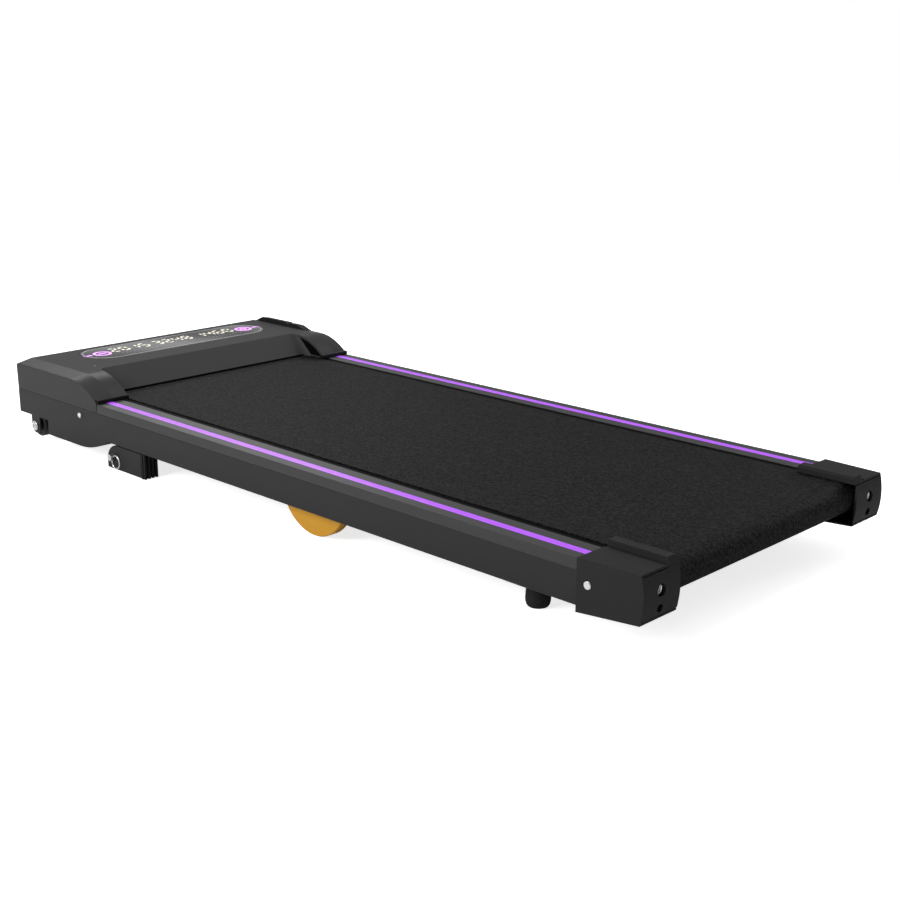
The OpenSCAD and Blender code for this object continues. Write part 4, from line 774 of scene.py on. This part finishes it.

# %% [markdown]
# Under the end of each shoulder sits a black block, which hides the joint to the foot rail. Its
# black is painted shade for the dark band of the shoulder's end above the rail. It is as wide as the
# shoulder's end, with its edges rounded by a bevel.

# %% Painted shade under the shoulders' ends
HOOD_LOW, HOOD_HIGH = (Vector(corner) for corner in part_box("motor_hood"))
RAIL_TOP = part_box("left_foot_rail")[1][2]
SHOULDER_IN, END_SHADE_LONG, END_SHADE_HIGH = 188.6 * MM, 10 * MM, 6 * MM
for side, name in ((-1, "left_shoulder_end_shade"), (1, "right_shoulder_end_shade")):
    width = HOOD_HIGH.x - SHOULDER_IN - 1.5 * MM
    clear_selection()
    bpy.ops.mesh.primitive_cube_add(size=1, location=(side * (SHOULDER_IN + width / 2 + 0.5 * MM),
                                                      HOOD_LOW.y + 4 * MM, RAIL_TOP + END_SHADE_HIGH / 2))
    end_shade = bpy.context.object
    end_shade.name = name
    end_shade.scale = (width, END_SHADE_LONG, END_SHADE_HIGH)
    settle(end_shade)
    ease = end_shade.modifiers.new("eased edges", "BEVEL")
    ease.width = 1.2 * MM
    ease.segments = 3
    apply_all(end_shade)
    smooth(end_shade)
    give(end_shade, strip_abs)
    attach(end_shade, HOOD_BODY)
    print(name, "width in mm:", round(width / MM, 1))

# %% [markdown]
# The inner side of each shoulder is open in the real moulding, and its inside lies in deep shade
# within a narrow rim. A thin black panel with the outline of that opening paints that shade on the
# closed solid. It starts as a disc 4 mm inside the rounded back of the shoulder. One bisect cuts it
# level over the rail, and a second one cuts it along the sloped face, from that face's foot to a tip
# about one degree behind the top of the disc. An extrusion gives it its thickness.

# %% Painted shade in the openings of the shoulders
ARC_Y, ARC_Z, ARC_R, ARC_SIDES = 447.8 * MM, HOOD_HIGH.z - 100 * MM, 96 * MM, 340
FOOT_Y, FOOT_Z, RUN = 423 * MM, RAIL_TOP + 2 * MM, 34.0 / 30.0
ARM_IN, SUNK, PANEL_THICK = 190 * MM, 0.02 * MM, 0.3 * MM
LIFT, BEHIND, TIP_TURN = 0.8 * MM, 5.5 * MM, math.radians(1.062)
foot = Vector((0, FOOT_Y + LIFT * RUN - BEHIND, FOOT_Z + LIFT))
tip = Vector((0, ARC_Y - ARC_R * math.sin(TIP_TURN), ARC_Z + ARC_R * math.cos(TIP_TURN)))
before_slope = (tip - foot).cross(Vector((1, 0, 0)))
for side, name in ((-1, "left_shoulder_opening_shade"), (1, "right_shoulder_opening_shade")):
    clear_selection()
    bpy.ops.mesh.primitive_circle_add(vertices=ARC_SIDES, radius=ARC_R, fill_type="NGON",
                                      location=(side * (ARM_IN + SUNK), ARC_Y, ARC_Z),
                                      rotation=(0, math.radians(90), 0))
    panel = bpy.context.object
    panel.name = name
    settle(panel)
    bpy.ops.object.mode_set(mode="EDIT")
    for away in (Vector((0, 0, -1)), before_slope):
        bpy.ops.mesh.select_all(action="SELECT")
        bpy.ops.mesh.bisect(plane_co=foot, plane_no=away, clear_outer=True, threshold=NEAR)
    bpy.ops.object.mode_set(mode="OBJECT")
    draw_out(panel, (-side * PANEL_THICK, 0, 0))
    give(panel, shadow_black)
    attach(panel, HOOD_BODY)
    print(name, "in mm:", [round(size / MM, 1) for size in panel.dimensions])

# %% [markdown]
# A black brush closes the slit between the foot of the sloped face and the belt. At this distance
# its bristles can't be told apart, so it is one narrow strip, extruded from a plane. Its near-black
# is the brush's own black together with painted shade for the slit.

# %% Brush with painted shade at the foot of the sloped face
BRUSH_DEEP, BRUSH_HIGH = 2.6 * MM, 2.2 * MM
clear_selection()
bpy.ops.mesh.primitive_plane_add(size=1, location=(0, FOOT_Y - 1.2 * MM, RAIL_TOP + 0.2 * MM))
brush = bpy.context.object
brush.name = "hood_foot_brush_and_shade"
brush.scale = (2 * ARM_IN - 1 * MM, BRUSH_DEEP, 1)
settle(brush)
draw_out(brush, (0, 0, BRUSH_HIGH))
give(brush, shadow_black)
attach(brush, HOOD_BODY)
print("brush in mm:", [round(size / MM, 1) for size in brush.dimensions])

# %% [markdown]
# The stage is plain: a white paper floor under a soft sky. The floor is a diffuse surface, so it
# keeps the machine's shadow, and for the camera it gets a light of its own that takes it up to
# white where no shadow falls. The sky is white to the camera and through glass. Gloss sees that
# white only low over the horizon, up to about 5 degrees, and the dim sky above it, as in a room
# with pale walls and a dark ceiling. Under a sky that is white all over, black plastic looks grey.

# %% Floor
FLOOR_FILL = 0.78
clear_selection()
bpy.ops.mesh.primitive_plane_add(size=16.0, location=(0, 0, 0))
floor = bpy.context.object
floor.name = "studio_floor"
material, tree, out, place = new_material("studio_paper_white")
paper = add(tree, "ShaderNodeBsdfDiffuse", {"Color": (0.9, 0.9, 0.9, 1.0)})
fill = add(tree, "ShaderNodeEmission", {"Color": (1.0, 1.0, 1.0, 1.0), "Strength": FLOOR_FILL})
ray = add(tree, "ShaderNodeLightPath")
seen = add(tree, "ShaderNodeMath", {0: ray.outputs["Is Camera Ray"], 1: ray.outputs["Is Transmission Ray"]},
           operation="ADD")
lit = add(tree, "ShaderNodeAddShader", {0: paper.outputs[0], 1: fill.outputs[0]})
mix = add(tree, "ShaderNodeMixShader", {0: seen.outputs[0], 1: paper.outputs[0], 2: lit.outputs[0]})
tree.links.new(mix.outputs[0], out.inputs["Surface"])
give(floor, material)
print("floor in m:", [round(size, 1) for size in floor.dimensions])

# %% Sky
SKY, WALL_TOP = 0.24, 0.08
world = bpy.data.worlds.new("studio")
bpy.context.scene.world = world
world.use_nodes = True
tree = world.node_tree
tree.nodes.clear()
out = add(tree, "ShaderNodeOutputWorld")
soft = add(tree, "ShaderNodeBackground", {"Color": (1.0, 1.0, 1.0, 1.0), "Strength": SKY})
white = add(tree, "ShaderNodeBackground", {"Color": (1.0, 1.0, 1.0, 1.0), "Strength": 1.0})
ray = add(tree, "ShaderNodeLightPath")
aim = add(tree, "ShaderNodeTexCoord")
height = add(tree, "ShaderNodeSeparateXYZ", {0: aim.outputs["Generated"]})
wall = add(tree, "ShaderNodeMapRange", {"Value": height.outputs["Z"], "From Min": 0.0, "From Max": WALL_TOP,
                                        "To Min": 1.0, "To Max": 0.0})
gloss = add(tree, "ShaderNodeMath", {0: ray.outputs["Is Glossy Ray"], 1: wall.outputs[0],
                                     2: ray.outputs["Is Camera Ray"]}, operation="MULTIPLY_ADD")
seen = add(tree, "ShaderNodeMath", {0: gloss.outputs[0], 1: ray.outputs["Is Transmission Ray"]},
           operation="ADD", use_clamp=True)
mix = add(tree, "ShaderNodeMixShader", {0: seen.outputs[0], 1: soft.outputs[0], 2: white.outputs[0]})
tree.links.new(mix.outputs[0], out.inputs["Surface"])
print("sky strength:", SKY)

# %% [markdown]
# Four soft boxes light the machine. The strongest stands on the left and gives the side member and
# the rails their light. A second one behind the hood draws the light along its far edges, and two
# more from above and from the right open the shadows. Each is aimed at a point of the machine.

# %% Soft boxes
def soft_box(name, place, aim, size, power):
    bpy.ops.object.light_add(type="AREA", location=place)
    lamp = bpy.context.object
    lamp.name = name
    lamp.data.shape = "RECTANGLE"
    lamp.data.size, lamp.data.size_y = size
    lamp.data.energy = power
    lamp.rotation_mode = "QUATERNION"
    lamp.rotation_quaternion = (Vector(aim) - Vector(place)).to_track_quat("-Z", "Y")
    print(name, "watts:", power)


soft_box("side_softbox", (-2.6, 0.6, 1.5), (0, 0, 0.1), (1.6, 1.2), 74.0)
soft_box("far_softbox", (1.2, 2.6, 1.8), (-0.15, 0.5, 0.12), (1.6, 1.0), 26.0)
soft_box("top_softbox", (1.3, 0.1, 2.4), (0, 0.3, 0.1), (1.4, 1.4), 28.0)
soft_box("right_softbox", (2.6, -0.9, 1.3), (0, 0, 0.1), (1.2, 1.0), 22.0)
